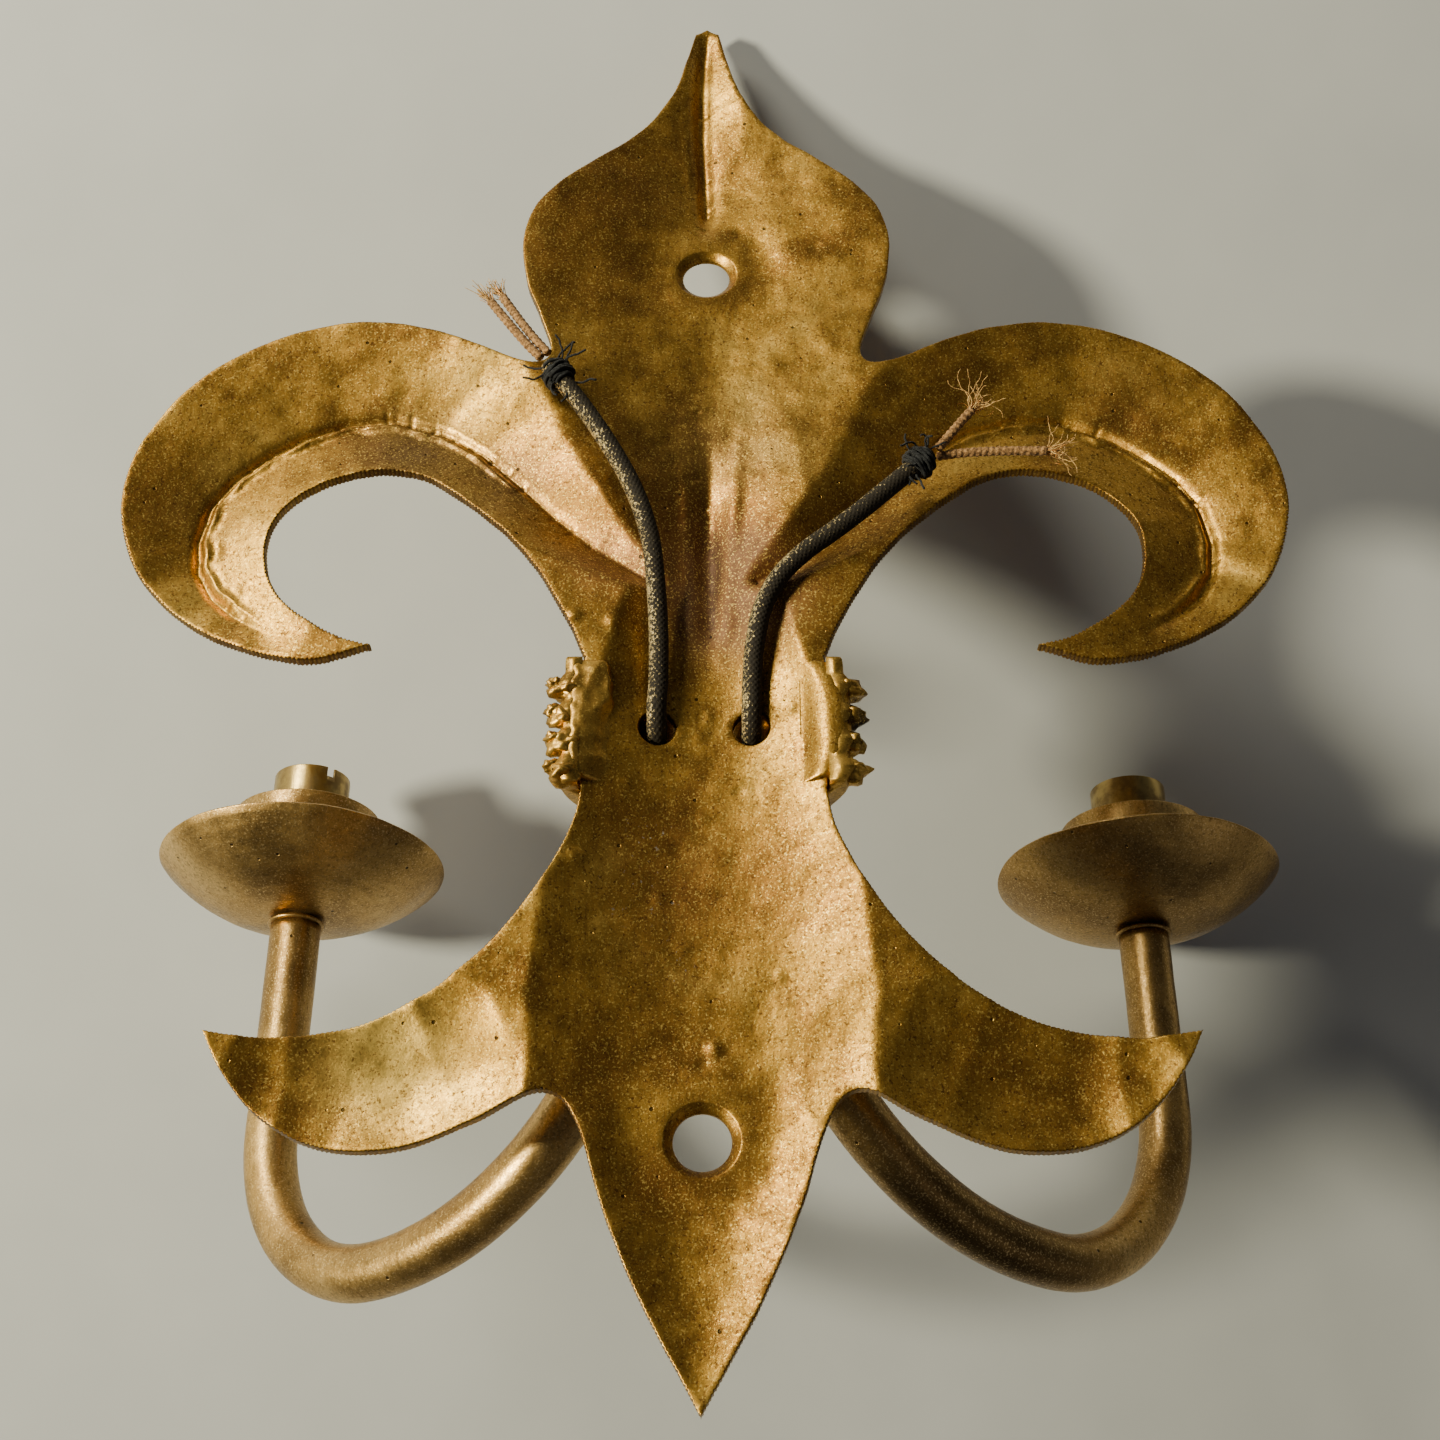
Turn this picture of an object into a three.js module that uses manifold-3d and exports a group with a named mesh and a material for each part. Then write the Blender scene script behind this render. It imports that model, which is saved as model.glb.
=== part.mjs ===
// Two-arm wall sconce: a hammered fleur-de-lis backplate, a waist collar that binds two swan-neck
// arms to it, and on each arm a drip pan, a cup and a lamp holder wired through the arm.
//
// Millimetres. +Z is up, the front faces -Y and the wall is on the +Y side. Every shape is first
// placed from the waist: x to the right, "forward" away from the wall, z up from the waist centre.
// The finished group is then moved so that its origin is the flat land under the upper fixing hole.

import * as THREE from 'three';
import { mergeVertices } from 'three/addons/utils/BufferGeometryUtils.js';
import Module from 'manifold-3d';

const wasm = await Module();
wasm.setup();

// ---------------------------------------------------------------- driving dimensions

const GAP = 0.3;                    // clearance kept between touching pieces

const PLATE_THICKNESS = 3.5;
const PLATE_HALF_WIDTH = 176;       // half width of the sheet before it is cut to the outline
const UPPER_HOLE_Z = 168;
const LOWER_HOLE_Z = -116;
const FIXING_HOLE_RADIUS = 7.4;
const COUNTERSINK_RADIUS = 9.6;
const COUNTERSINK_DEPTH = 2.2;
const CABLE_HOLE_X = 13.2;
const CABLE_HOLE_Z = 1.3;
const CABLE_HOLE_RADIUS = 5.2;
const LAND_DEPTH = 7;               // how far the flat fixing lands stand forward of the wall
const LAND_HALF = 16;               // half size of the flat square round each fixing hole
const LAND_TALLER = 0.5;
const LAND_BLEND = 7;
const ORIGIN_BELOW_HOLE = 13;       // the frame origin is this far under the upper hole

const WAIST_HALF = 33.5;
const COLLAR_BOTTOM = -19.3;
const COLLAR_HEIGHT = 39;
const COLLAR_ROWS = 9;              // one row from each ridge tip to the next valley
const LAST_RIDGE_ROW = 7;
const RIDGE_REACH = 2.8;

const TUBE_RADIUS = 8;
const TUBE_BORE = 5.85;
const TUBE_FORWARD = 20.2;          // tube centre in front of the wall where the collar binds it
const TUBE_TOP = 14;
const WINDOW_RADIUS = 5.6;          // side opening that lets the flex into the tube
const WINDOW_Z = -3.4;

// Seen from the front, left is -x. The hand-bent arms are not quite alike.
const ARMS = [
  {
    name: 'left', side: -1, x: 13.2, yaw: 38, seat: -13, slotTurn: 150,
    drop: 18, bigRadius: 108, smallRadius: 56,
  },
  {
    name: 'right', side: 1, x: 13.2, yaw: 38, seat: -13, slotTurn: 40,
    drop: 28, bigRadius: 102, smallRadius: 49,
  },
];

const PAN_RADIUS = 46;
const PAN_DEPTH = 19;
const PAN_WALL = 1.5;
const CUP_RADIUS = 23.7;
const CUP_TOP = 38.5;
const CUP_WALL = 1.5;
const HOLDER_RADIUS = 12.4;
const HOLDER_TOP = 53.5;
const NIPPLE_RADIUS = 5;
const NIPPLE_BORE = 3.75;

const FLEX_RADIUS = 2.75;
const CORE_RADIUS = 1.35;

// ---------------------------------------------------------------- materials

function finish(color, roughness, metalness) {
  return new THREE.MeshStandardMaterial({ color, roughness, metalness });
}

const GILT = finish(0xa8802f, 0.45, 0.75);
const BRONZE = finish(0x8d6e35, 0.42, 0.8);
const BRASS = finish(0xa99148, 0.35, 0.9);
const STEEL = finish(0x8f8b82, 0.4, 0.9);
const COPPER = finish(0xb87333, 0.35, 0.9);
const PORCELAIN = finish(0xe8e2d4, 0.4, 0);
const JACKET = finish(0x2b2924, 0.85, 0);
const TEXTILE = finish(0x8a6a48, 0.9, 0);
const THREAD = finish(0x1c1d20, 0.95, 0);

// ---------------------------------------------------------------- small tools

/** A point given from the waist centre. */
const at = (x, forward, z) => new THREE.Vector3(x, -forward, z);

const radians = THREE.MathUtils.degToRad;

function positionsOnly(geometry) {
  const bare = geometry.index ? geometry.toNonIndexed() : geometry.clone();
  bare.deleteAttribute('normal');
  bare.deleteAttribute('uv');
  return mergeVertices(bare, 1e-4);
}

/** A manifold-3d solid of a closed geometry. */
function solid(geometry) {
  const merged = positionsOnly(geometry);
  const vertProperties = new Float32Array(merged.attributes.position.array);
  const triVerts = new Uint32Array(merged.index.array);
  return new wasm.Manifold(new wasm.Mesh({ numProp: 3, vertProperties, triVerts }));
}

function geometryOf(manifold) {
  const mesh = manifold.getMesh();
  const geometry = new THREE.BufferGeometry();
  geometry.setAttribute('position', new THREE.BufferAttribute(mesh.vertProperties, 3));
  geometry.setIndex(new THREE.BufferAttribute(mesh.triVerts, 1));
  return geometry;
}

/** A cylinder whose axis runs forward, through the point (x, z), between two depths. */
function forwardCylinder(x, z, rearRadius, frontRadius, from, to, sides = 24) {
  const geometry = new THREE.CylinderGeometry(rearRadius, frontRadius, to - from, sides);
  geometry.translate(x, -(from + to) / 2, z);
  return geometry;
}

/** Stands a flat shape drawn in x and z upright, from one depth forward to another. */
function uprightPrism(shape, from, to, curveSegments) {
  const geometry = new THREE.ExtrudeGeometry(shape, { depth: to - from, bevelEnabled: false, curveSegments });
  geometry.rotateX(Math.PI / 2);
  geometry.translate(0, -from, 0);
  return geometry;
}

const points = (pairs) => pairs.map(([x, y]) => new THREE.Vector2(x, y));

function polygon(radius, sides) {
  const corners = [];
  for (let i = 0; i < sides; i++) {
    const angle = (2 * Math.PI * i) / sides;
    corners.push(new THREE.Vector2(radius * Math.cos(angle), radius * Math.sin(angle)));
  }
  return corners;
}

/** A rod, or a tube where a bore is given, that follows a curve. */
function sweep(curve, radius, { sides, steps, bore = 0, boreSides = 8 }) {
  const section = new THREE.Shape(polygon(radius, sides));
  if (bore > 0) section.holes.push(new THREE.Path(polygon(bore, boreSides)));
  return new THREE.ExtrudeGeometry(section, { steps, extrudePath: curve, bevelEnabled: false });
}

/** Turns a closed profile of [radius, height] pairs about the upright axis. */
function turned(profile, segments) {
  const closed = [...profile, profile[0]];
  const geometry = new THREE.LatheGeometry(points(closed), segments);
  geometry.rotateX(Math.PI / 2);
  return geometry;
}

// ---------------------------------------------------------------- the hammered relief

// Valleys beaten into the back of the plate: each point is [x, z, depth, half width].
const LEAF_CREASE = [
  [0, 270, 1.5, 7], [0, 240, 6, 16], [0, 205, 9, 46], [0, 164, 8.5, 58],
  [0, 120, 7.5, 47], [0, 85, 8, 26], [0, 52, 9, 14],
];
const BODY_GUTTER = [
  [0, 60, 8, 13], [0, 30, 8.5, 25], [0, 0, 8, 34], [0, -50, 9, 42],
  [0, -90, 8.5, 46], [0, -120, 7.5, 33], [0, -150, 5, 20], [0, -183, 1, 6],
];
const SCROLL_GROOVE = [
  [15, 50, 8, 8], [33, 62, 7.5, 12], [45, 73, 7.5, 17], [57, 86, 8, 23], [68, 97, 8.5, 30],
  [80, 105, 9, 34], [95, 109.5, 9, 36], [109, 108.5, 9, 36], [122, 103, 9, 35], [132, 96, 9, 34],
  [141, 87.5, 9, 32], [147, 77.5, 9, 30], [149, 65, 8.5, 28], [147.5, 54, 8, 25], [142.5, 45, 7, 23],
  [136, 38, 5, 19], [126, 30, 2, 14],
];
const LOBE_HOLLOW = [
  [56, -93, 2, 16], [68, -98, 6, 24], [80, -103, 8, 28], [92, -105, 8, 27],
  [104, -104, 6, 22], [118, -98, 2, 14],
];

const CREASED = 1.15;               // a fold falls off almost straight
const ROUNDED = 2;                  // a gutter falls off as a parabola

/** Depth that one valley gives at a point of the right half. */
function valleyDepth(valley, shapePower, x, z) {
  let depth = 0;
  for (let i = 1; i < valley.length; i++) {
    const [ax, az, aDepth, aWidth] = valley[i - 1];
    const [bx, bz, bDepth, bWidth] = valley[i];
    const length2 = (bx - ax) ** 2 + (bz - az) ** 2;
    const along = THREE.MathUtils.clamp(((x - ax) * (bx - ax) + (z - az) * (bz - az)) / length2, 0, 1);
    const away = Math.hypot(x - ax - along * (bx - ax), z - az - along * (bz - az));
    const reach = away / THREE.MathUtils.lerp(aWidth, bWidth, along);
    if (reach >= 1) continue;
    const fall = shapePower === ROUNDED ? 1 - reach ** ROUNDED : (1 - reach) ** CREASED;
    depth = Math.max(depth, THREE.MathUtils.lerp(aDepth, bDepth, along) * fall);
  }
  return depth;
}

/** How far the rear face stands forward of the wall at a point of the plate. */
function relief(x, z) {
  const side = Math.abs(x);
  const depths = [
    valleyDepth(LEAF_CREASE, CREASED, side, z),
    valleyDepth(BODY_GUTTER, ROUNDED, side, z),
    valleyDepth(SCROLL_GROOVE, CREASED, side, z),
    valleyDepth(LOBE_HOLLOW, ROUNDED, side, z),
  ];
  let depth = depths.reduce((sum, value) => sum + value ** 4, 0) ** 0.25;
  for (const holeZ of [UPPER_HOLE_Z, LOWER_HOLE_Z]) {
    const outside = Math.max(side, Math.abs(z - holeZ) - LAND_TALLER) - LAND_HALF;
    const blend = THREE.MathUtils.clamp(outside / LAND_BLEND, 0, 1);
    depth = THREE.MathUtils.lerp(LAND_DEPTH, depth, blend);
  }
  return depth;
}

// ---------------------------------------------------------------- backplate

// Right half of the outline, clockwise from the top tip, as smooth runs that meet at corners.
const LEAF_AND_SCROLL_OUTER = [
  [4, 271], [9.5, 249], [16, 235], [25, 224], [37, 213], [50, 199], [56.5, 188], [58.5, 175],
  [56.5, 160], [52, 147], [48, 134.5], [49, 128.5], [54, 127], [61, 129.5], [70, 134], [83, 139.5],
  [98, 142.5], [113, 142], [128, 137.5], [142, 130], [155, 119], [163.5, 107], [169.5, 94],
  [172, 80], [170.5, 66], [165, 52], [157, 41.5], [147, 33], [135, 26], [122, 21], [109, 19.5], [94, 24.5],
];
const SCROLL_INNER = [
  [94, 24.5], [103, 27.5], [112.5, 33], [121, 40.5], [126, 50], [127.5, 61], [125, 71], [118.5, 79],
  [109, 84.5], [95, 87.5], [83, 85], [72, 77], [60, 65.5], [50, 53], [43, 41], [37.5, 30], [WAIST_HALF, 20],
];
const LOBE_TOP = [
  [WAIST_HALF, -20], [35, -29], [39, -40], [45.5, -52], [54, -64], [64, -74], [75, -81],
  [88, -86.5], [102, -89.5], [114, -90.5], [126.5, -89.5],
];
const LOBE_BOTTOM_AND_FOOT = [
  [126.5, -89.5], [122.5, -97.5], [115, -107], [107, -113.5], [98, -117.5], [87, -119.5],
  [76, -118.8], [65, -115.5], [54, -111], [46, -107], [40, -104.8], [35.5, -106.3], [32.2, -111],
  [29, -119], [25.5, -131], [20.5, -144], [14.5, -157], [7, -170.5], [0, -183],
];

function plateOutline() {
  const runs = [LEAF_AND_SCROLL_OUTER, SCROLL_INNER, LOBE_TOP, LOBE_BOTTOM_AND_FOOT];
  const right = [];
  for (const run of runs) {
    const curve = new THREE.SplineCurve(points(run));
    right.push(...curve.getPoints(run.length - 1));
  }
  const outline = new THREE.Shape([new THREE.Vector2(0, 273.5)]);
  for (const corner of right) outline.lineTo(corner.x, corner.y);
  for (const corner of right.reverse()) outline.lineTo(-corner.x, corner.y);
  return outline;
}

const HALF_COLUMNS = 16;
const LAND_COLUMNS = 2;             // columns from the middle to the edge of a land
const HOLE_ROWS = 26;               // rows between the two fixing holes
const ROWS_BELOW = 6.5;             // the holes sit half way up a row
const ROWS_ABOVE = 10.5;

/** Grid lines of the sheet, so placed that the edges of the flat lands fall on them. */
function columnX(column) {
  const steps = Math.abs(column);
  const outerStep = (PLATE_HALF_WIDTH - LAND_HALF) / (HALF_COLUMNS - LAND_COLUMNS);
  const inLand = (steps * LAND_HALF) / LAND_COLUMNS;
  const x = steps <= LAND_COLUMNS ? inLand : LAND_HALF + (steps - LAND_COLUMNS) * outerStep;
  return Math.sign(column) * x;
}

/** The beaten sheet before it is cut: a slab whose two faces follow the relief. */
function beatenSheet(thickness) {
  const rowHeight = (UPPER_HOLE_Z - LOWER_HOLE_Z) / HOLE_ROWS;
  const rows = HOLE_ROWS + ROWS_ABOVE + ROWS_BELOW;
  const bottom = LOWER_HOLE_Z - ROWS_BELOW * rowHeight;
  const columns = 2 * HALF_COLUMNS;
  const sheet = new THREE.BoxGeometry(columns, rows * rowHeight, thickness, columns, rows, 1);
  sheet.translate(0, bottom + (rows * rowHeight) / 2, thickness / 2);
  const position = sheet.attributes.position;
  for (let i = 0; i < position.count; i++) {
    const x = columnX(Math.round(position.getX(i)));
    position.setX(i, x);
    position.setZ(i, position.getZ(i) + relief(x, position.getY(i)));
  }
  sheet.rotateX(Math.PI / 2);
  return sheet;
}

function makeFleurPlate() {
  const reach = 40;
  let plate = solid(beatenSheet(PLATE_THICKNESS));
  plate = plate.intersect(solid(uprightPrism(plateOutline(), -reach, reach, 1)));
  for (const z of [UPPER_HOLE_Z, LOWER_HOLE_Z]) {
    const hole = forwardCylinder(0, z, FIXING_HOLE_RADIUS, FIXING_HOLE_RADIUS, -reach, reach);
    plate = plate.subtract(solid(hole));
    const coneReach = 1;
    const slope = (COUNTERSINK_RADIUS - FIXING_HOLE_RADIUS) / COUNTERSINK_DEPTH;
    const rearRadius = COUNTERSINK_RADIUS + slope * coneReach;
    const sink = forwardCylinder(0, z, rearRadius, FIXING_HOLE_RADIUS, LAND_DEPTH - coneReach,
      LAND_DEPTH + COUNTERSINK_DEPTH);
    plate = plate.subtract(solid(sink));
  }
  for (const side of [-1, 1]) {
    const x = side * CABLE_HOLE_X;
    const hole = forwardCylinder(x, CABLE_HOLE_Z, CABLE_HOLE_RADIUS, CABLE_HOLE_RADIUS, -reach, reach);
    plate = plate.subtract(solid(hole));
  }
  return geometryOf(plate);
}

// ---------------------------------------------------------------- collar and joints

// Plan section of the band, right half: [x, forward], round the outside and back along the inside.
const BAND_OUTSIDE = [
  [0, 33], [13, 33], [22, 30.5], [28.5, 25], [33.5, 17.5], [37.5, 10], [39, 4], [38.5, -1.2],
];
const BAND_INSIDE = [
  [34, -1.2], [34, 5], [30, 9], [25.8, 14], [22.8, 20], [19, 26.6], [13, 28.9], [0, 28.9],
];
const BAND_MIDDLE = 8;              // the ridges point away from this depth
const BAND_REAR = -1.6;             // no part of the band reaches behind this depth

/** The band that binds both arms to the waist, with sharp ridges round its outside. */
function makeCollarBand() {
  const right = [...BAND_OUTSIDE, ...BAND_INSIDE];
  const left = right.filter(([x]) => x > 0).reverse().map(([x, forward]) => [-x, forward]);
  const section = new THREE.Shape(points([...right, ...left].map(([x, forward]) => [x, -forward])));
  const extrusion = { depth: COLLAR_HEIGHT, steps: COLLAR_ROWS, bevelEnabled: false };
  const band = new THREE.ExtrudeGeometry(section, extrusion);
  const near = (x, y, [ox, forward]) => Math.hypot(Math.abs(x) - ox, y + forward) < 0.01;
  const isOutside = (x, y) => BAND_OUTSIDE.some((corner) => near(x, y, corner));
  const position = band.attributes.position;
  for (let i = 0; i < position.count; i++) {
    const row = Math.round((position.getZ(i) * COLLAR_ROWS) / COLLAR_HEIGHT);
    const x = position.getX(i);
    const y = position.getY(i);
    if (row % 2 === 0 || row > LAST_RIDGE_ROW || !isOutside(x, y)) continue;
    const out = new THREE.Vector2(x, y + BAND_MIDDLE).setLength(RIDGE_REACH);
    position.setXY(i, x + out.x, y + out.y);
  }
  return band.translate(0, 0, COLLAR_BOTTOM);
}

const BRAZE_INNER = 23;
const BRAZE_OUTER = 38;
const BRAZE_BOTTOM = -9;
const BRAZE_TOP = 20;

/** Braze run over the joint between the collar's end and the back of the plate. */
function makeBraze(side) {
  const width = BRAZE_OUTER - BRAZE_INNER;
  const height = BRAZE_TOP - BRAZE_BOTTOM;
  const pad = new THREE.BoxGeometry(width, height, 1, 5, 8, 1);
  const position = pad.attributes.position;
  for (let i = 0; i < position.count; i++) {
    const u = (2 * position.getX(i)) / width;
    const v = (2 * position.getY(i)) / height;
    const round = Math.sqrt(1 - 0.42 * Math.min(1, u * u * v * v + 0.25 * v ** 4));
    const x = (BRAZE_INNER + BRAZE_OUTER) / 2 + (u * width * round) / 2;
    const z = (BRAZE_TOP + BRAZE_BOTTOM) / 2 + (v * height * round) / 2;
    const onBack = position.getZ(i) < 0;
    const under = Math.min(relief(x, z) - 3 * GAP, x > WAIST_HALF - 3 ? BAND_REAR - GAP : Infinity);
    const crown = 0.7 + 1.9 * (1 - u * u) * (1 - v * v);
    position.setXYZ(i, side * x, -(onBack ? under - crown : under), z);
  }
  return side < 0 ? mirrored(pad) : pad;
}

/** Mirroring turns a mesh inside out, so its triangles are wound the other way. */
function mirrored(geometry) {
  const flipped = positionsOnly(geometry);
  const index = flipped.index;
  for (let i = 0; i < index.count; i += 3) {
    const second = index.getX(i + 1);
    index.setX(i + 1, index.getX(i + 2));
    index.setX(i + 2, second);
  }
  return flipped;
}

const WELD_SECTION = [[18.2, 12.5], [24.4, 8.6], [21.7, 17.2]];
const WELD_BOTTOM = -18;
const WELD_HEIGHT = 30;

/** Fillet weld along the outer side of an arm, where it lies on the front of the plate. */
function makeArmWeld(side) {
  const section = new THREE.Shape(points(WELD_SECTION.map(([x, forward]) => [side * x, -forward])));
  const weld = new THREE.ExtrudeGeometry(section, { depth: WELD_HEIGHT, steps: 1, bevelEnabled: false });
  return weld.translate(0, 0, WELD_BOTTOM);
}

// ---------------------------------------------------------------- arms

/** Centreline of an arm: down under the collar, round a wide bend, and up to the drip pan. */
class ArmCentreline extends THREE.Curve {
  constructor(arm) {
    super();
    this.arm = arm;
    this.lowest = -arm.drop - arm.bigRadius;
    this.straightDown = TUBE_TOP + arm.drop;
    this.wideBend = (arm.bigRadius * Math.PI) / 2;
    this.tightBend = (arm.smallRadius * Math.PI) / 2;
    this.straightUp = arm.seat - (this.lowest + arm.smallRadius);
    this.total = this.straightDown + this.wideBend + this.tightBend + this.straightUp;
  }

  /** Distance out along the arm's own upright plane, and height, after a length of tube. */
  outAndUp(length) {
    const { bigRadius, smallRadius, drop } = this.arm;
    if (length <= this.straightDown) return [0, TUBE_TOP - length];
    let rest = length - this.straightDown;
    if (rest <= this.wideBend) {
      const turn = rest / bigRadius;
      return [bigRadius * (1 - Math.cos(turn)), -drop - bigRadius * Math.sin(turn)];
    }
    rest -= this.wideBend;
    if (rest <= this.tightBend) {
      const turn = rest / smallRadius;
      return [bigRadius + smallRadius * Math.sin(turn), this.lowest + smallRadius * (1 - Math.cos(turn))];
    }
    rest -= this.tightBend;
    return [bigRadius + smallRadius, this.lowest + smallRadius + rest];
  }

  place(out, z) {
    const yaw = radians(this.arm.yaw);
    return at(this.arm.side * (this.arm.x + out * Math.cos(yaw)), TUBE_FORWARD + out * Math.sin(yaw), z);
  }

  getPoint(t) {
    const [out, z] = this.outAndUp(t * this.total);
    return this.place(out, z);
  }
}

function makeArmTube(arm) {
  const line = new ArmCentreline(arm);
  const tube = solid(sweep(line, TUBE_RADIUS, { sides: 12, steps: 32, bore: TUBE_BORE, boreSides: 8 }));
  const window = forwardCylinder(arm.side * arm.x, WINDOW_Z, WINDOW_RADIUS, WINDOW_RADIUS,
    TUBE_FORWARD - TUBE_RADIUS - 3, TUBE_FORWARD - 3, 14);
  return geometryOf(tube.subtract(solid(window)));
}

/** Flex inside the arm: in through the plate, down the tube, round the bends and up the nipple. */
function makeInnerFlex(arm) {
  const line = new ArmCentreline(arm);
  const x = arm.side * arm.x;
  const route = [at(x, 10.9, -0.6), at(x, 14, -2.8), at(x, 17.6, -7.4), at(x, 19.6, -13)];
  const first = TUBE_TOP + 21;
  const bends = 16;
  for (let i = 0; i <= bends; i++) {
    const [out, z] = line.outAndUp(first + ((line.total - first) * i) / bends);
    route.push(line.place(out, z));
  }
  const [out] = line.outAndUp(line.total);
  route.push(line.place(out, arm.seat + FLEX_TOP));
  return sweep(new THREE.CatmullRomCurve3(route), FLEX_RADIUS, { sides: 8, steps: 34 });
}

// ---------------------------------------------------------------- pan, cup and lamp holder

// Profiles are [radius, height] pairs. Height zero is the end of the arm tube.
const WASHER_PROFILE = [
  [NIPPLE_RADIUS + GAP, 0.3], [8.8, 0.3], [9.2, 1], [8.4, 1.9], [NIPPLE_RADIUS + GAP, 2.1],
];

/** Underside height of the dished pan at a radius: nearly flat in the middle, steeper outside. */
function panUnderside(radius) {
  const share = radius / PAN_RADIUS;
  return 2.4 + PAN_DEPTH * (0.35 * share ** 2 + 0.65 * share ** 3);
}

function panProfile() {
  const radii = [NIPPLE_RADIUS + GAP, 14, 22, 30, 38, 44.5];
  const below = radii.map((radius) => [radius, panUnderside(radius)]);
  const above = radii.map((radius) => [radius, panUnderside(radius) + PAN_WALL]).reverse();
  const lip = [[PAN_RADIUS, 21.8], [PAN_RADIUS - 1, 22.6]];
  return [...below, ...lip, ...above];
}

const CUP_PROFILE = [
  [NIPPLE_RADIUS + GAP, 5], [12, 5.2], [CUP_RADIUS - 2, 9.6], [CUP_RADIUS, 12], [CUP_RADIUS, CUP_TOP],
  [CUP_RADIUS - CUP_WALL, CUP_TOP], [CUP_RADIUS - CUP_WALL, 12.5], [CUP_RADIUS - 3, 11], [11.6, 6.7],
  [NIPPLE_RADIUS + GAP, 6.6],
];
const NIPPLE_PROFILE = [[NIPPLE_BORE, -10], [NIPPLE_RADIUS, -10], [NIPPLE_RADIUS, 22], [NIPPLE_BORE, 22]];
const HOLDER_PROFILE = [
  [NIPPLE_RADIUS + GAP, 12.4], [8.2, 12.4], [8.2, 17], [HOLDER_RADIUS - 1, 18.6], [HOLDER_RADIUS, 20],
  [HOLDER_RADIUS, HOLDER_TOP], [HOLDER_RADIUS - 0.9, HOLDER_TOP], [HOLDER_RADIUS - 0.9, 20.4],
  [7.6, 18.4], [NIPPLE_RADIUS + GAP, 18.4],
];
const INSULATOR_PROFILE = [[2.2, 28], [11.1, 28], [11.1, 50.5], [8.4, 50.5], [8.4, 32], [2.2, 32]];
const CONTACT_PROFILE = [[0, 27], [1.7, 27], [1.7, 32.3], [3.4, 32.3], [3.2, 34], [0, 34.8]];
const SHELL_INNER = 6.9;
const SHELL_OUTER = 7.9;
const SHELL_BOTTOM = 35.2;
const SHELL_TURNS = 4;
const THREAD_PITCH = 3.5;
const THREAD_DEPTH = 0.45;
const FLEX_TOP = 25;
const SLOT_WIDTH = 2.6;
const SLOT_DEPTH = 3.4;

/** Rolled screw shell: its wall waves in and out once for each turn of the thread. */
function screwShellProfile() {
  const outer = [];
  const inner = [];
  for (let i = 0; i <= SHELL_TURNS * 2; i++) {
    const wave = i % 2 === 0 ? 0 : THREAD_DEPTH;
    const z = SHELL_BOTTOM + (i * THREAD_PITCH) / 2;
    outer.push([SHELL_OUTER - wave, z]);
    inner.unshift([SHELL_INNER - wave, z]);
  }
  return [...outer, ...inner];
}

function makeHolderShell() {
  const shell = solid(turned(HOLDER_PROFILE, 20));
  const slot = new THREE.BoxGeometry(SLOT_WIDTH, 8, 2 * SLOT_DEPTH);
  slot.translate(0, HOLDER_RADIUS, HOLDER_TOP);
  return geometryOf(shell.subtract(solid(slot)));
}

function makeLockNut() {
  const hexagon = new THREE.Shape(polygon(9.6, 6));
  hexagon.holes.push(new THREE.Path(polygon(NIPPLE_RADIUS + GAP, 16)));
  return new THREE.ExtrudeGeometry(hexagon, { depth: 4, steps: 1, bevelEnabled: false }).translate(0, 0, 7.2);
}

function makeTerminalScrew() {
  const screw = new THREE.CylinderGeometry(1.8, 1.8, 2.6, 10).rotateX(Math.PI / 2).translate(0, 0, 26.2);
  const slot = new THREE.BoxGeometry(5, 0.7, 1.4).translate(0, 0, 24.9);
  return geometryOf(solid(screw).subtract(solid(slot)));
}

// ---------------------------------------------------------------- free cable tails

// Centreline of each tail on the back of the plate, from its hole to the bound end.
const TAIL_ROUTES = {
  left: [
    at(-13.2, 10.4, -0.3), at(-13.2, 6.3, 1.7), at(-13.2, 2.9, 6.7), at(-13.4, 2.2, 15), at(-14.2, 1.2, 25),
    at(-16.6, -0.8, 36.5), at(-21.6, -2.4, 46), at(-28.8, -3.6, 53.6), at(-36.8, -4.2, 60), at(-45, -4.6, 67),
    at(-53.6, -5, 75), at(-62, -5.2, 83), at(-66, -5.2, 87),
  ],
  right: [
    at(13.2, 10.4, -0.3), at(13.2, 6.3, 1.7), at(13.2, 2.9, 6.7), at(12.8, 2.2, 15), at(13, 1.2, 30),
    at(14, -0.8, 45), at(15.2, -2, 56), at(17.2, -2.6, 65), at(20.2, -2.6, 74.5), at(24.6, -3.1, 84.5),
    at(30.2, -3.5, 95), at(36.4, -3.6, 105.5), at(43.4, -3.7, 116), at(47.6, -3.7, 122),
  ],
};

// Each insulated core leaves the bound end as a short bare-ended wire.
const CORE_ROUTES = {
  left: [
    [at(-68.6, -6.8, 88), at(-72, -7, 92.4), at(-75.5, -7.2, 97), at(-79, -7.2, 101.5)],
    [at(-68.6, -4, 87.2), at(-77, -3.8, 88.6), at(-88, -3.6, 89.4), at(-101, -3.4, 89.6)],
  ],
  right: [
    [at(50.2, -3.8, 124.6), at(55, -3.8, 130.4), at(60, -4, 137.2), at(66.5, -4.2, 146.4)],
    [at(48, -3.8, 126.4), at(52.6, -3.8, 132.4), at(57.4, -4, 139.4), at(63, -4.2, 148.4)],
  ],
};

const TIE_LENGTH = 6;

/** Waxed thread bound round the jacket's end, as one collar with a waist. */
function makeTie() {
  const bore = FLEX_RADIUS + GAP;
  const half = TIE_LENGTH / 2;
  const wound = [[bore, -half], [3.9, -half], [4.3, -1.4], [4, 0], [4.3, 1.4], [3.9, half], [bore, half]];
  return turned(wound, 12);
}

// ---------------------------------------------------------------- assembly

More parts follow.
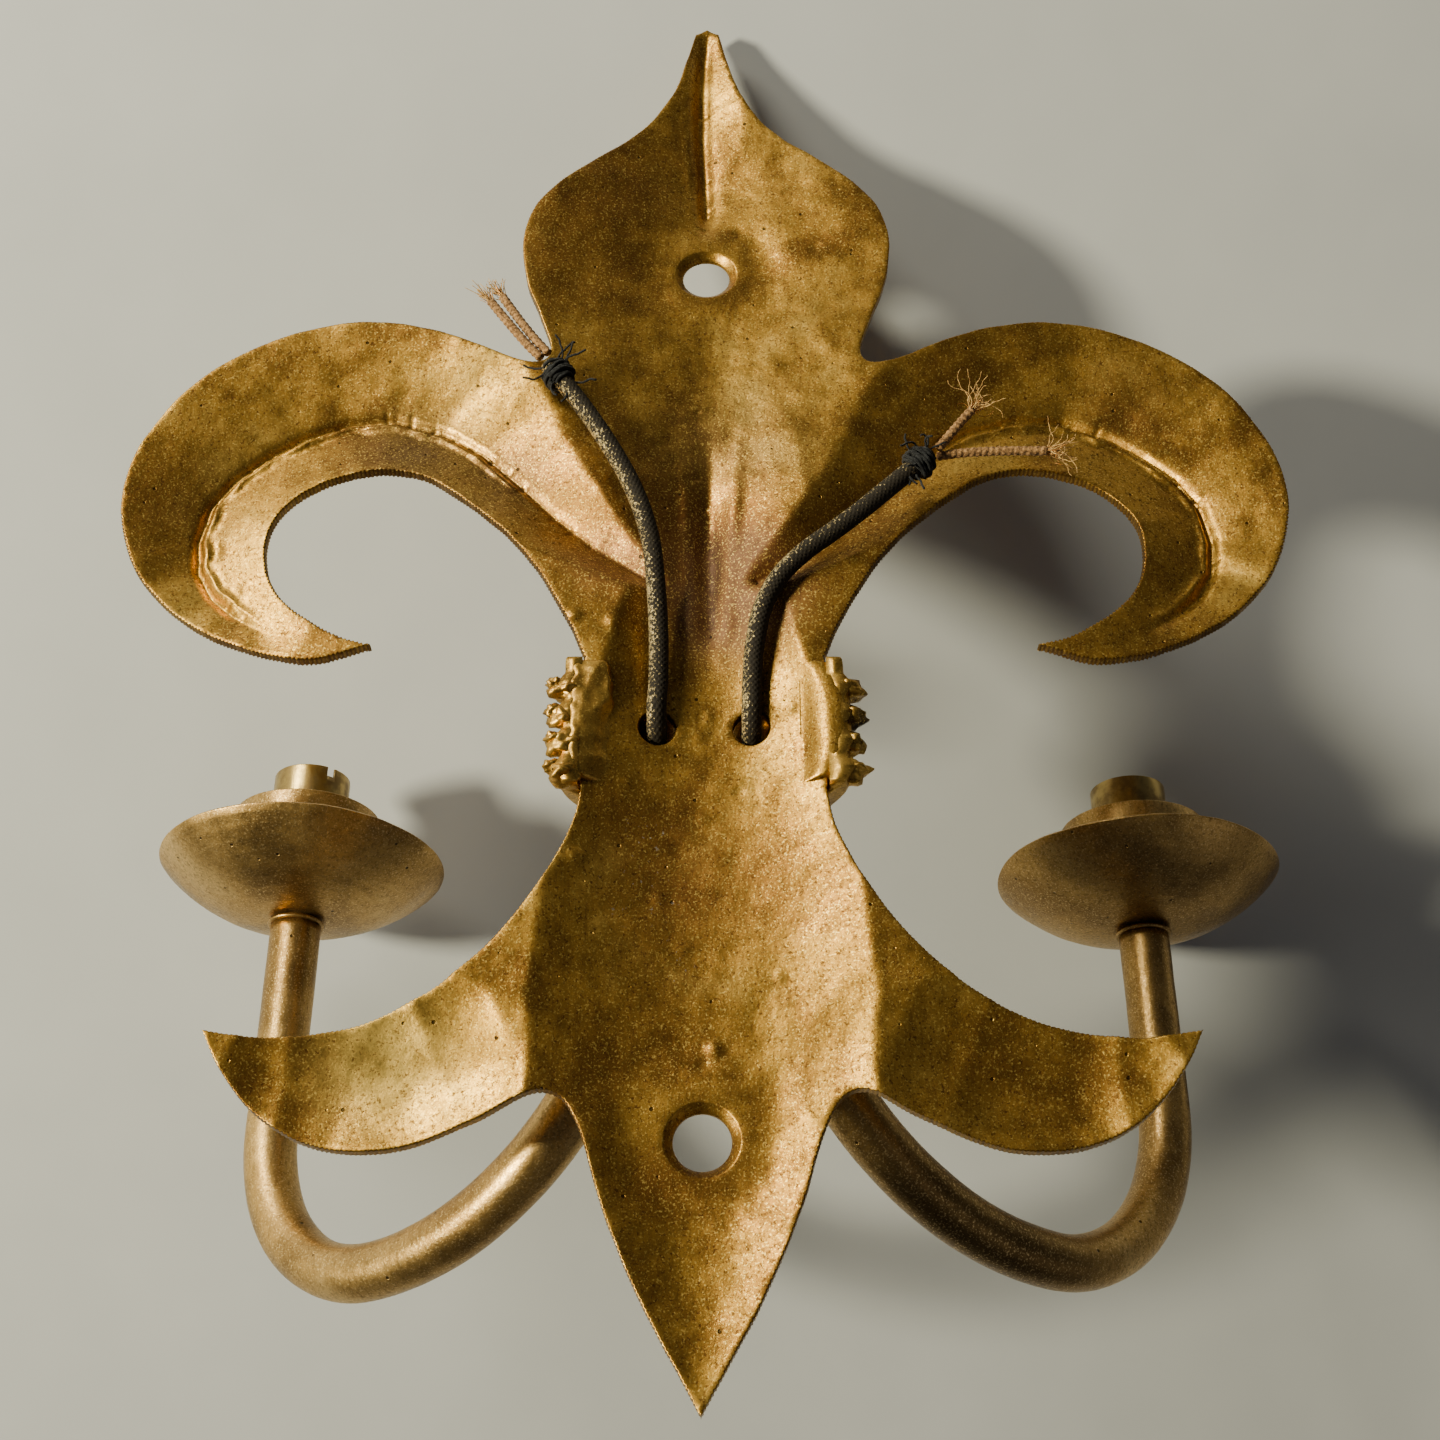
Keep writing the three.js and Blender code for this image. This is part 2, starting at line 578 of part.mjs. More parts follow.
const sconce = new THREE.Group();
sconce.name = 'sconce';
sconce.position.set(0, LAND_DEPTH, ORIGIN_BELOW_HOLE - UPPER_HOLE_Z);

function add(name, geometry, material, parent = sconce) {
  const mesh = new THREE.Mesh(geometry, material);
  mesh.name = name;
  parent.add(mesh);
  return mesh;
}

add('fleur_plate', makeFleurPlate(), GILT);
add('collar_band', makeCollarBand(), GILT);

for (const arm of ARMS) {
  add(`collar_braze_${arm.name}`, makeBraze(arm.side), GILT);
  add(`arm_weld_${arm.name}`, makeArmWeld(arm.side), GILT);
  add(`arm_tube_${arm.name}`, makeArmTube(arm), BRONZE);
  add(`arm_flex_${arm.name}`, makeInnerFlex(arm), JACKET);

  const line = new ArmCentreline(arm);
  const [out, z] = line.outAndUp(line.total);
  const light = new THREE.Group();
  light.position.copy(line.place(out, z));
  sconce.add(light);
  add(`seat_washer_${arm.name}`, turned(WASHER_PROFILE, 16), BRONZE, light);
  add(`drip_pan_${arm.name}`, turned(panProfile(), 28), BRONZE, light);
  add(`cup_${arm.name}`, turned(CUP_PROFILE, 24), BRONZE, light);
  add(`nipple_${arm.name}`, turned(NIPPLE_PROFILE, 14), STEEL, light);
  add(`lock_nut_${arm.name}`, makeLockNut(), STEEL, light);
  add(`holder_shell_${arm.name}`, makeHolderShell(), BRASS, light).rotation.z = radians(arm.slotTurn);
  add(`insulator_${arm.name}`, turned(INSULATOR_PROFILE, 16), PORCELAIN, light);
  add(`centre_contact_${arm.name}`, turned(CONTACT_PROFILE, 12), COPPER, light);
  add(`screw_shell_${arm.name}`, turned(screwShellProfile(), 14), COPPER, light);
  for (const [number, x] of [[1, -7], [2, 7]]) {
    add(`terminal_screw_${arm.name}_${number}`, makeTerminalScrew(), STEEL, light).position.x = x;
  }

  const tail = new THREE.CatmullRomCurve3(TAIL_ROUTES[arm.name]);
  add(`cable_tail_${arm.name}`, sweep(tail, FLEX_RADIUS, { sides: 8, steps: 20 }), JACKET);
  const tie = add(`cable_tie_${arm.name}`, makeTie(), THREAD);
  tie.position.copy(tail.getPointAt(0.96));
  tie.quaternion.setFromUnitVectors(new THREE.Vector3(0, 0, 1), tail.getTangentAt(0.96));
  CORE_ROUTES[arm.name].forEach((route, i) => {
    const core = sweep(new THREE.CatmullRomCurve3(route), CORE_RADIUS, { sides: 6, steps: 6 });
    add(`cable_core_${arm.name}_${i + 1}`, core, TEXTILE);
  });
}

export default sconce;
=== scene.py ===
"""Gilt wrought-iron fleur-de-lis sconce seen from behind: beaten surfaces, materials and cables.

Everything is in metres in the part's frame. Shapes are written from the waist, in millimetres: x to the
right, forward away from the wall and z up from the waist centre. at() puts such a point in the frame.
"""
import math
import random

import bmesh
import bpy
import numpy as np
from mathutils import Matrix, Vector, geometry, kdtree, noise


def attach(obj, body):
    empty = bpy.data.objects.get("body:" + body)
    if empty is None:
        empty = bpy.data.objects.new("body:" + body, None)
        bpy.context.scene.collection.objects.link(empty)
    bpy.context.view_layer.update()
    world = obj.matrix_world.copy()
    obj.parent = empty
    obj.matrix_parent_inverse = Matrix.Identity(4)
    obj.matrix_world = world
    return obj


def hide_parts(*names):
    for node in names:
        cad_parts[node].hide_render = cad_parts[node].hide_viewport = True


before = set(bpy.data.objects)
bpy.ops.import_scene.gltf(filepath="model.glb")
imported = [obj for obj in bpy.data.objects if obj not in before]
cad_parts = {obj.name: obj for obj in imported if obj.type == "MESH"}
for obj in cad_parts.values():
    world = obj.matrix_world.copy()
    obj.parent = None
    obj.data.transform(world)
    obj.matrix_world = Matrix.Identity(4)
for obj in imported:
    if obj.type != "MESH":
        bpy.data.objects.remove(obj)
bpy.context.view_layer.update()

MM = 0.001
LAND_DEPTH = 7.0
WAIST_Z = -155.0
PLATE_THICKNESS = 3.5
FIXING_HOLES = (168.0, -116.0)
CABLE_HOLE = (13.2, 1.3)
LAND_RADIUS = 12.0
LAND_BLEND = 16.0
SIDES = {"left": -1, "right": 1}


def at(x, forward, z):
    """A point given from the waist, in the frame."""
    return Vector((x, LAND_DEPTH - forward, WAIST_Z + z)) * MM


# ---------------- mesh tools

def linked(name, data):
    """A new object in the scene."""
    obj = bpy.data.objects.new(name, data)
    bpy.context.scene.collection.objects.link(obj)
    return obj


def new_object(name, verts, faces, material, marks=None):
    """A smooth-shaded mesh that rides on the part. Normals are made to point outwards. marks gives named
    numbers for each vertex, which a material can read."""
    mesh = bpy.data.meshes.new(name)
    mesh.from_pydata([tuple(v) for v in verts], [], faces)
    for mark, values in (marks or {}).items():
        mesh.attributes.new(mark, "FLOAT", "POINT").data.foreach_set("value", values)
    work = bmesh.new()
    work.from_mesh(mesh)
    bmesh.ops.remove_doubles(work, verts=work.verts, dist=1e-7)
    bmesh.ops.recalc_face_normals(work, faces=work.faces)
    work.to_mesh(mesh)
    work.free()
    mesh.shade_smooth()
    mesh.materials.append(material)
    obj = linked(name, mesh)
    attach(obj, "root")
    return obj


def stands_for(piece, node):
    """The piece takes a CAD node's place: the node is hidden."""
    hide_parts(node)
    return piece


def paint(node_name, material):
    """Gives a CAD node that is kept as it is a material."""
    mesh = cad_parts[node_name].data
    mesh.materials.clear()
    mesh.materials.append(material)


def resample(points, step):
    """The same polyline with points an even step apart."""
    points = np.asarray(points, float)
    along = np.concatenate([[0], np.cumsum(np.linalg.norm(np.diff(points, axis=0), axis=1))])
    count = max(1, round(along[-1] / step))
    wanted = np.linspace(0, along[-1], count + 1)
    return np.stack([np.interp(wanted, along, points[:, k]) for k in range(points.shape[1])], axis=1)


def spline(points, step):
    """A smooth curve through the points, resampled at an even step."""
    points = np.asarray(points, float)
    padded = np.vstack([2 * points[0] - points[1], points, 2 * points[-1] - points[-2]])
    t = np.linspace(0, 1, 16, endpoint=False)[:, None]
    dense = []
    for a, b, c, d in zip(padded, padded[1:], padded[2:], padded[3:]):
        dense.append(0.5 * (2 * b + (c - a) * t + (2 * a - 5 * b + 4 * c - d) * t ** 2
                            + (3 * b - a - 3 * c + d) * t ** 3))
    return resample(np.vstack(dense + [points[-1:]]), step)


def ring_faces(a, b):
    """Quads between two closed rings, each a list of vertex numbers."""
    return list(zip(a, a[1:] + a[:1], b[1:] + b[:1], b))


def grid_faces(rings, around, start=0):
    """Quads between successive closed rings of the same number of points."""
    levels = [list(range(start + i * around, start + (i + 1) * around)) for i in range(rings)]
    return [face for a, b in zip(levels, levels[1:]) for face in ring_faces(a, b)]


def capped_faces(rings, around):
    """Quads between successive closed rings, and a flat cap at each end."""
    last = (rings - 1) * around
    caps = [tuple(range(around)), tuple(range(last + around - 1, last - 1, -1))]
    return grid_faces(rings, around) + caps


def swept_rings(path, radius, around):
    """Rings of points round a path. radius(i, angle, along) is in metres."""
    path = [Vector(p) for p in path]
    last = len(path) - 1
    tangents = [(path[min(i + 1, last)] - path[max(i - 1, 0)]).normalized() for i in range(last + 1)]
    normal = tangents[0].orthogonal().normalized()
    verts = []
    along = 0.0
    for i, (point, tangent) in enumerate(zip(path, tangents)):
        if i:
            along += (point - path[i - 1]).length
            normal = tangents[i - 1].rotation_difference(tangent) @ normal
        normal = (normal - tangent * normal.dot(tangent)).normalized()
        binormal = tangent.cross(normal)
        for j in range(around):
            angle = 2 * math.pi * j / around
            out = normal * math.cos(angle) + binormal * math.sin(angle)
            verts.append(point + out * radius(i, angle, along))
    return verts


def rod(path, radius, around):
    """Vertices and faces of a closed rod along a path, with flat capped ends."""
    return swept_rings(path, radius, around), capped_faces(len(path), around)


def joined(parts):
    """One list of vertices and faces from several closed shapes."""
    verts, faces = [], []
    for more_verts, more_faces in parts:
        start = len(verts)
        verts += list(more_verts)
        faces += [tuple(start + v for v in face) for face in more_faces]
    return verts, faces


def rounded(profile, radius):
    """A closed profile whose corners are rounded by up to the radius."""
    points = [np.array(p, float) for p in profile]
    result = []
    for before, corner, after in zip(points[-1:] + points, points, points[1:] + points[:1]):
        lengths = np.linalg.norm(before - corner), np.linalg.norm(after - corner)
        reach = min(radius, 0.4 * min(lengths))
        start = corner + (before - corner) * reach / lengths[0]
        end = corner + (after - corner) * reach / lengths[1]
        for t in (0, 0.25, 0.5, 0.75, 1):
            result.append((1 - t) ** 2 * start + 2 * t * (1 - t) * corner + t * t * end)
    return result


def refined(profile, step):
    """A closed profile with points added so that none is further than a step from the next."""
    result = []
    for a, b in zip(profile, profile[1:] + profile[:1]):
        parts = max(1, math.ceil(np.linalg.norm(b - a) / step))
        result += [a + (b - a) * k / parts for k in range(parts)]
    return result


def turned(name, profile, centre, material, around=96, corner=0.4, step=2.5, shape=None):
    """Turns a closed [radius, height] profile about an upright axis. shape(r, angle, z) may change a radius
    and height, in millimetres."""
    closed = refined(rounded(profile, corner), step)
    verts = []
    for r, z in closed:
        for j in range(around):
            angle = 2 * math.pi * j / around
            new_r, new_z = shape(r, angle, z) if shape else (r, z)
            verts.append(centre + Vector((new_r * math.cos(angle), new_r * math.sin(angle), new_z)) * MM)
    last = len(verts) - around
    faces = grid_faces(len(closed), around)
    faces += ring_faces(list(range(last, last + around)), list(range(around)))
    return new_object(name, verts, faces, material)


# ---------------- node tools

class Nodes:
    """Short calls that build a material's nodes."""

    def __init__(self, name):
        self.material = bpy.data.materials.new(name)
        self.material.use_nodes = True
        self.tree = self.material.node_tree
        self.tree.nodes.clear()
        self.coords = self.node("ShaderNodeTexCoord", "Object")

    def node(self, kind, output, inputs=None, **settings):
        """Adds a node, fills or links its inputs, and gives one of its outputs."""
        node = self.tree.nodes.new(kind)
        for key, value in settings.items():
            setattr(node, key, value)
        for key, value in (inputs or {}).items():
            socket = node.inputs[key]
            if isinstance(value, bpy.types.NodeSocket):
                self.tree.links.new(value, socket)
            elif socket.type == "RGBA":
                socket.default_value = (*value, 1)
            else:
                socket.default_value = value
        return node.outputs[output] if node.outputs else None

    def stretched(self, x, y, z):
        return self.node("ShaderNodeMapping", "Vector", {"Vector": self.coords, "Scale": (x, y, z)})

    def noise(self, size_mm, detail=3.0, rough=0.55, coords=None, distortion=0.0):
        """Noise whose features are about this many millimetres across."""
        inputs = {"Vector": coords or self.coords, "Scale": 1000 / size_mm, "Detail": detail,
                  "Roughness": rough, "Distortion": distortion}
        return self.node("ShaderNodeTexNoise", "Fac", inputs)

    def dots(self, spacing_mm):
        """Distance to the nearest of scattered points, as a share of their spacing."""
        inputs = {"Vector": self.coords, "Scale": 1000 / spacing_mm}
        return self.node("ShaderNodeTexVoronoi", "Distance", inputs)

    def span(self, value, low, high, to_low=0.0, to_high=1.0):
        """Smoothly maps a value from one range to another."""
        inputs = {"Value": value, "From Min": low, "From Max": high, "To Min": to_low, "To Max": to_high}
        return self.node("ShaderNodeMapRange", "Result", inputs, interpolation_type="SMOOTHSTEP")

    def sum(self, a, b, operation="ADD"):
        return self.node("ShaderNodeMath", "Value", {0: a, 1: b}, operation=operation)

    def times(self, a, b):
        return self.sum(a, b, "MULTIPLY")

    def mix(self, share, a, b):
        return self.node("ShaderNodeMix", 2, {0: share, 6: a, 7: b}, data_type="RGBA")

    def place(self, x, forward, z, radius_mm):
        """A soft patch, 1 at a point of the object and 0 beyond the radius."""
        inputs = {0: self.coords, 1: at(x, forward, z)}
        away = self.node("ShaderNodeVectorMath", "Value", inputs, operation="DISTANCE")
        return self.span(away, radius_mm * MM, 0.0)

    def attribute(self, name):
        return self.node("ShaderNodeAttribute", "Fac", attribute_name=name)

    def bump(self, height, depth_mm, normal=None):
        inputs = {"Height": height, "Distance": depth_mm * MM}
        if normal:
            inputs["Normal"] = normal
        return self.node("ShaderNodeBump", "Normal", inputs)

    def shader(self, **inputs):
        return self.node("ShaderNodeBsdfPrincipled", 0, {k.replace("_", " "): v for k, v in inputs.items()})

    def output(self, surface):
        self.node("ShaderNodeOutputMaterial", 0, {"Surface": surface})
        return self.material

    def finish(self, **inputs):
        return self.output(self.shader(**inputs))


# ---------------- materials

def gilt_material(name, dark, middle, light, stain_and_light_patches=(), speckle=0.9, dust=(), worn=()):
    """Gold paint over brown size on hammered iron: sandy grain, soft stains, patches of painted shade and
    painted highlight, and darker cut edges with painted shade in their notches.
    """
    n = Nodes(name)
    broad = n.noise(42, detail=3, rough=0.55, distortion=0.4)
    cloud = n.noise(11, detail=5, rough=0.65)
    grain = n.noise(1.15, detail=4, rough=0.8)
    fleck = n.noise(0.6, detail=2, rough=0.6)
    drawn = n.noise(1.1, detail=3, coords=n.stretched(1, 1, 0.12))
    stain = n.sum(n.times(broad, 0.68), n.times(cloud, 0.32))
    colour = n.mix(n.span(stain, 0.38, 0.56, 0.35, 1.0), dark, middle)
    colour = n.mix(n.span(stain, 0.54, 0.70, 0.0, 0.5), colour, light)
    colour = n.mix(n.span(drawn, 0.5, 0.34, 0.0, 0.3), colour, dark)
    # Patches of stain, painted shade and painted highlight, each mixed in at its strength.
    for x, forward, z, radius, shade, strength in stain_and_light_patches:
        patch = n.times(n.place(x, forward, z, radius), n.span(cloud, 0.3, 0.6, 0.6, 1.0))
        colour = n.mix(n.times(patch, strength), colour, shade)
    colour = n.mix(n.span(grain, 0.50, 0.36, 0.0, speckle), colour, n.mix(0.5, dark, BLACK_BROWN))
    colour = n.mix(n.span(fleck, 0.54, 0.70, 0.0, 0.8), colour, light)
    pits = n.span(n.dots(8.5), 0.075, 0.045)
    colour = n.mix(n.times(pits, 0.85), colour, BLACK_BROWN)
    chips = n.times(n.span(n.noise(2.6, detail=4, rough=0.7), 0.70, 0.75), n.span(broad, 0.45, 0.62))
    colour = n.mix(n.times(chips, 0.75), colour, BARE_IRON)
    for x, forward, z, radius in dust:
        dusty = n.times(n.place(x, forward, z, radius), n.span(n.noise(1.3, detail=4), 0.66, 0.71))
        colour = n.mix(dusty, colour, PALE_DUST)
    # Painted shade: the cut walls are darkened, most in the nibbled notches.
    wall = n.attribute("cut_wall_shade")
    colour = n.mix(n.times(wall, 0.92), colour, n.mix(0.6, dark, BLACK_BROWN))
    roughness = n.sum(n.span(cloud, 0.3, 0.7, 0.30, 0.40), n.span(grain, 0.35, 0.65, 0.10, -0.02))
    matt = 0.0
    for x, forward, z, radius, share in worn:
        matt = n.sum(matt, n.times(n.place(x, forward, z, radius), share))
    metal = n.span(matt, 0, 1, 0.95, 0.22)
    roughness = n.sum(roughness, n.span(matt, 0, 1, 0, 0.2))
    height = n.sum(n.times(grain, 0.6), n.times(fleck, 0.4))
    normal = n.bump(height, 0.075)
    normal = n.bump(n.noise(6.5, detail=3), 0.20, normal)
    normal = n.bump(n.sum(1.0, pits, "SUBTRACT"), 0.25, normal)
    return n.finish(Base_Color=colour, Metallic=metal, Roughness=roughness, Normal=normal)


BLACK_BROWN = (0.018, 0.010, 0.005)
DARK_SIZE = (0.165, 0.064, 0.015)
OLD_GOLD = (0.500, 0.275, 0.045)
BRIGHT_GOLD = (0.860, 0.590, 0.150)
GREY_BROWN = (0.150, 0.098, 0.055)
RED_BROWN = (0.290, 0.118, 0.034)
BARE_IRON = (0.035, 0.028, 0.022)
PALE_DUST = (0.80, 0.74, 0.62)

# Patches on the plate: x, forward and z of the middle, radius, colour and strength. Those marked below are
# painted shade and a painted highlight; the others darken or tint the colour.
PLATE_STAIN_AND_LIGHT_PATCHES = (
    (26, 4, 205, 40, DARK_SIZE, 0.7),
    (50, 4, 176, 40, DARK_SIZE, 0.7),
    (160, 3, 76, 40, DARK_SIZE, 0.7),
    (-8, 6, 96, 40, GREY_BROWN, 0.55),
    (4, 6, 66, 28, RED_BROWN, 0.75),
    # Painted shade in the valley below the leaf.
    (-6, 7, 56, 60, DARK_SIZE, 1.0),
    (12, 7, -128, 18, DARK_SIZE, 0.8),
    # Painted shade beside the leaf's foot.
    (30, 5, 54, 32, DARK_SIZE, 0.9),
    # Painted shade over the neck between leaf and scroll.
    (46, 4, 78, 42, RED_BROWN, 0.5),
    # Painted shade in the valley below the leaf, again.
    (-8, 8, 50, 38, DARK_SIZE, 1.6),
    # Painted highlight in the hollow of the right lobe.
    (81, 6, -95, 28, BRIGHT_GOLD, 0.9),
    (88, 5, 96, 30, GREY_BROWN, 0.7),
    (62, 4, 84, 26, GREY_BROWN, 0.6),
    (6, 6, -44, 40, RED_BROWN, 0.6),
    (22, 6, -26, 22, DARK_SIZE, 0.5),
    (10, 6, -80, 32, DARK_SIZE, 0.45),
    (-44, 5, -70, 22, DARK_SIZE, 0.4),
    (-70, 5, -96, 24, DARK_SIZE, 0.45),
    (-128, 5, 112, 24, RED_BROWN, 0.45),
)

gilt = gilt_material("gilt_iron", DARK_SIZE, OLD_GOLD, BRIGHT_GOLD, PLATE_STAIN_AND_LIGHT_PATCHES,
                     dust=((15, 7, -30, 11), (17, 7, -48, 14), (9, 7, -68, 9)),
                     worn=((-8, 8, 46, 38, 1.4), (30, 5, 56, 24, 0.5)))
# Its patch is painted shadow on the collar's left teeth.
braze_gilt = gilt_material("gilt_braze", (0.24, 0.12, 0.028), (0.56, 0.33, 0.072), BRIGHT_GOLD,
                           ((-43, 9, 0, 16, BLACK_BROWN, 2.0),), speckle=0.6)
# The first patch is painted shade over the left arm; the second darkens the right arm a little.
bronze = gilt_material("bronzed_iron", (0.180, 0.100, 0.034), (0.530, 0.330, 0.110), (0.84, 0.60, 0.27),
                       ((-70, 70, -125, 70, BLACK_BROWN, 0.75), (60, 55, -112, 45, DARK_SIZE, 0.3)),
                       speckle=0.5)


def plain_metal(name, colour, other, roughness):
    """Bare metal with faint stains and fine scratches."""
    n = Nodes(name)
    stain = n.noise(6, detail=4, rough=0.65)
    fine = n.noise(1.2, detail=3, coords=n.stretched(1, 1, 0.15))
    shade = n.mix(n.span(stain, 0.38, 0.66), colour, other)
    rough = n.span(stain, 0.3, 0.7, roughness - 0.08, roughness + 0.12)
    return n.finish(Base_Color=shade, Metallic=1.0, Roughness=rough, Normal=n.bump(fine, 0.05))


brass = plain_metal("dull_brass", (0.46, 0.33, 0.12), (0.25, 0.17, 0.07), 0.36)
steel = plain_metal("zinc_steel", (0.42, 0.41, 0.38), (0.22, 0.20, 0.17), 0.38)
copper = plain_metal("bare_copper", (0.72, 0.36, 0.18), (0.40, 0.17, 0.08), 0.32)


def porcelain_material():
    """White glaze, dirty in places."""
    n = Nodes("glazed_porcelain")
    dirt = n.span(n.noise(4, detail=5), 0.56, 0.75)
    shade = n.mix(dirt, (0.78, 0.74, 0.64), (0.42, 0.34, 0.24))
    return n.finish(Base_Color=shade, Roughness=0.22, Coat_Weight=0.4, Normal=n.bump(n.noise(3), 0.05))


def jacket_material():
    """Black braided jacket with gold flecks, denser on the side that faces the key light, which is painted
    light.
    """
    n = Nodes("cable_jacket")
    normal = {0: n.node("ShaderNodeNewGeometry", "Normal")}
    back, right = (n.node("ShaderNodeSeparateXYZ", axis, normal) for axis in "YX")
    # Painted light: the gold flecks gather on the side facing the key light, +X and back.
    toward = n.span(n.sum(n.times(back, 0.35), right), 0.1, 1.1)
    speck = n.noise(0.9, detail=4, rough=0.75)
    patch = n.noise(11, detail=2)
    gold = n.span(n.sum(n.sum(speck, n.times(toward, 0.16)), n.times(patch, 0.18)), 0.72, 0.82)
    shade = n.mix(n.noise(0.7), (0.008, 0.006, 0.004), (0.026, 0.020, 0.014))
    shade = n.mix(n.times(gold, 0.8), shade, (0.55, 0.42, 0.20))
    return n.finish(Base_Color=shade, Roughness=n.span(gold, 0, 1, 0.78, 0.45), Specular_IOR_Level=0.22,
                    Metallic=n.times(gold, 0.55), Normal=n.bump(speck, 0.12))


def fibre_material(name, dark, light):
    """Dull thread or yarn, uneven in colour."""
    n = Nodes(name)
    shade = n.mix(n.span(n.noise(0.8, detail=3, rough=0.7), 0.36, 0.64), dark, light)
    return n.finish(Base_Color=shade, Roughness=0.85, Sheen_Weight=0.06, Specular_IOR_Level=0.2,
                    Normal=n.bump(n.noise(0.4), 0.08))


porcelain = porcelain_material()
jacket = jacket_material()
thread = fibre_material("waxed_thread", (0.005, 0.005, 0.006), (0.022, 0.023, 0.026))
core_textile = fibre_material("core_textile", (0.10, 0.048, 0.018), (0.40, 0.22, 0.09))
straw = fibre_material("frayed_straw", (0.28, 0.14, 0.045), (0.66, 0.43, 0.17))
strands = plain_metal("wire_strands", (0.62, 0.30, 0.10), (0.34, 0.15, 0.05), 0.35)


# ---------------- the hammered relief

# Valleys of the right half: x and z of points along the bottom, with the depth and half width there.
LEAF_CREASE = [
    (0, 270, 1.5, 7), (0, 240, 6, 16), (0, 205, 9, 46), (0, 164, 8.5, 58),
    (0, 120, 7.5, 47), (0, 85, 8, 26), (0, 52, 9, 14),
]
BODY_GUTTER = [
    (0, 60, 8, 13), (0, 30, 8.5, 25), (0, 0, 8, 34), (0, -50, 9, 42),
    (0, -90, 8.5, 46), (0, -120, 7.5, 33), (0, -150, 5, 20), (0, -183, 1, 6),
]
SCROLL_GROOVE = [
    (15, 50, 8, 8), (33, 62, 7.5, 12), (45, 73, 7.5, 17), (57, 86, 8, 23), (68, 97, 8.5, 30),
    (80, 105, 9, 34), (95, 109.5, 9, 36), (109, 108.5, 9, 36), (122, 103, 9, 35), (132, 96, 9, 34),
    (141, 87.5, 9, 32), (147, 77.5, 9, 30), (149, 65, 8.5, 28), (147.5, 54, 8, 25), (142.5, 45, 7, 23),
    (136, 38, 5, 19), (126, 30, 2, 14),
]
LOBE_HOLLOW = [
    (56, -93, 2, 16), (68, -98, 6, 24), (80, -103, 8, 28), (92, -105, 8, 27), (104, -104, 6, 22),
    (118, -98, 2, 14),
]
# The line chiselled along each scroll, from the leaf's foot round to the tip.
CHASED_LINE = [(x, z) for x, z, _, _ in SCROLL_GROOVE[1:]]
# Beads of weld spatter: x, z and radius.
SPATTER = [
    (34, -40, 1.9), (37, 34, 1.2), (26, 32, 1.3), (-3, -92, 1.5), (-24, 6, 1.2), (21, -16, 0.9),
    (12, -50, 1.0),
]


def ramp(low, high, value):
    """0 up to low, 1 from high on and even between. Low may be the greater."""
    return np.clip((value - low) / (high - low), 0, 1)


def eased(low, high, value):
    """A ramp that starts and ends smoothly."""
    share = ramp(low, high, value)
    return share * share * (3 - 2 * share)


def bell(value, middle, width):
    return np.exp(-((value - middle) / width) ** 2)


def beside_segment(x, z, a, b):
    """How far along a segment points lie, as a share of it, and how far away from it."""
    run, rise = b[0] - a[0], b[1] - a[1]
    along = np.clip(((x - a[0]) * run + (z - a[1]) * rise) / (run ** 2 + rise ** 2), 0, 1)
    return along, np.hypot(x - a[0] - along * run, z - a[1] - along * rise)


def valley_depth(valley, creased, x, z, soft=0.0):
    """Depth that one valley gives at points of the right half: a fold, or a rounded gutter. soft rounds the
    bottom of a fold, in millimetres."""
    depth = np.zeros_like(x)
    for a, b in zip(valley, valley[1:]):
        along, away = beside_segment(x, z, a, b)
        away = np.hypot(away, soft) - soft
        reach = np.clip(away / (a[3] + (b[3] - a[3]) * along), 0, 1)
        fall = (1 - reach) ** 1.15 if creased else 1 - reach ** 2
        depth = np.maximum(depth, (a[2] + (b[2] - a[2]) * along) * fall)
    return depth


def relief(x, z):
    """How far the rear face stands forward of the wall, in millimetres."""
    x, z = np.asarray(x, float), np.asarray(z, float)
    side = np.abs(x)
    soft = np.interp(z, [150, 190], [9.0, 0.5])
    depths = [valley_depth(LEAF_CREASE, True, side, z, soft), valley_depth(BODY_GUTTER, False, side, z),
              valley_depth(SCROLL_GROOVE, True, side, z), valley_depth(LOBE_HOLLOW, False, side, z)]
    depth = sum(d ** 4 for d in depths) ** 0.25
    for hole_z in FIXING_HOLES:
        blend = eased(LAND_RADIUS, LAND_RADIUS + LAND_BLEND, np.hypot(x, z - hole_z))
        depth = LAND_DEPTH + (depth - LAND_DEPTH) * blend
    return depth


def beside_groove(x, z):
    """Distance across from the scroll's groove, positive towards the scroll's eye, and the share along it."""
    side = np.abs(x)
    nearest = np.full_like(side, 1e9)
    across = np.zeros_like(side)
    share = np.zeros_like(side)
    segments = len(CHASED_LINE) - 1
    for i, (a, b) in enumerate(zip(CHASED_LINE, CHASED_LINE[1:])):
        along, away = beside_segment(side, z, a, b)
        inner = (side - a[0]) * (b[1] - a[1]) - (z - a[1]) * (b[0] - a[0]) > 0
        closer = away < nearest
        nearest = np.where(closer, away, nearest)
        across = np.where(closer, np.where(inner, away, -away), across)
        share = np.where(closer, (i + along) / segments, share)
    return across, share


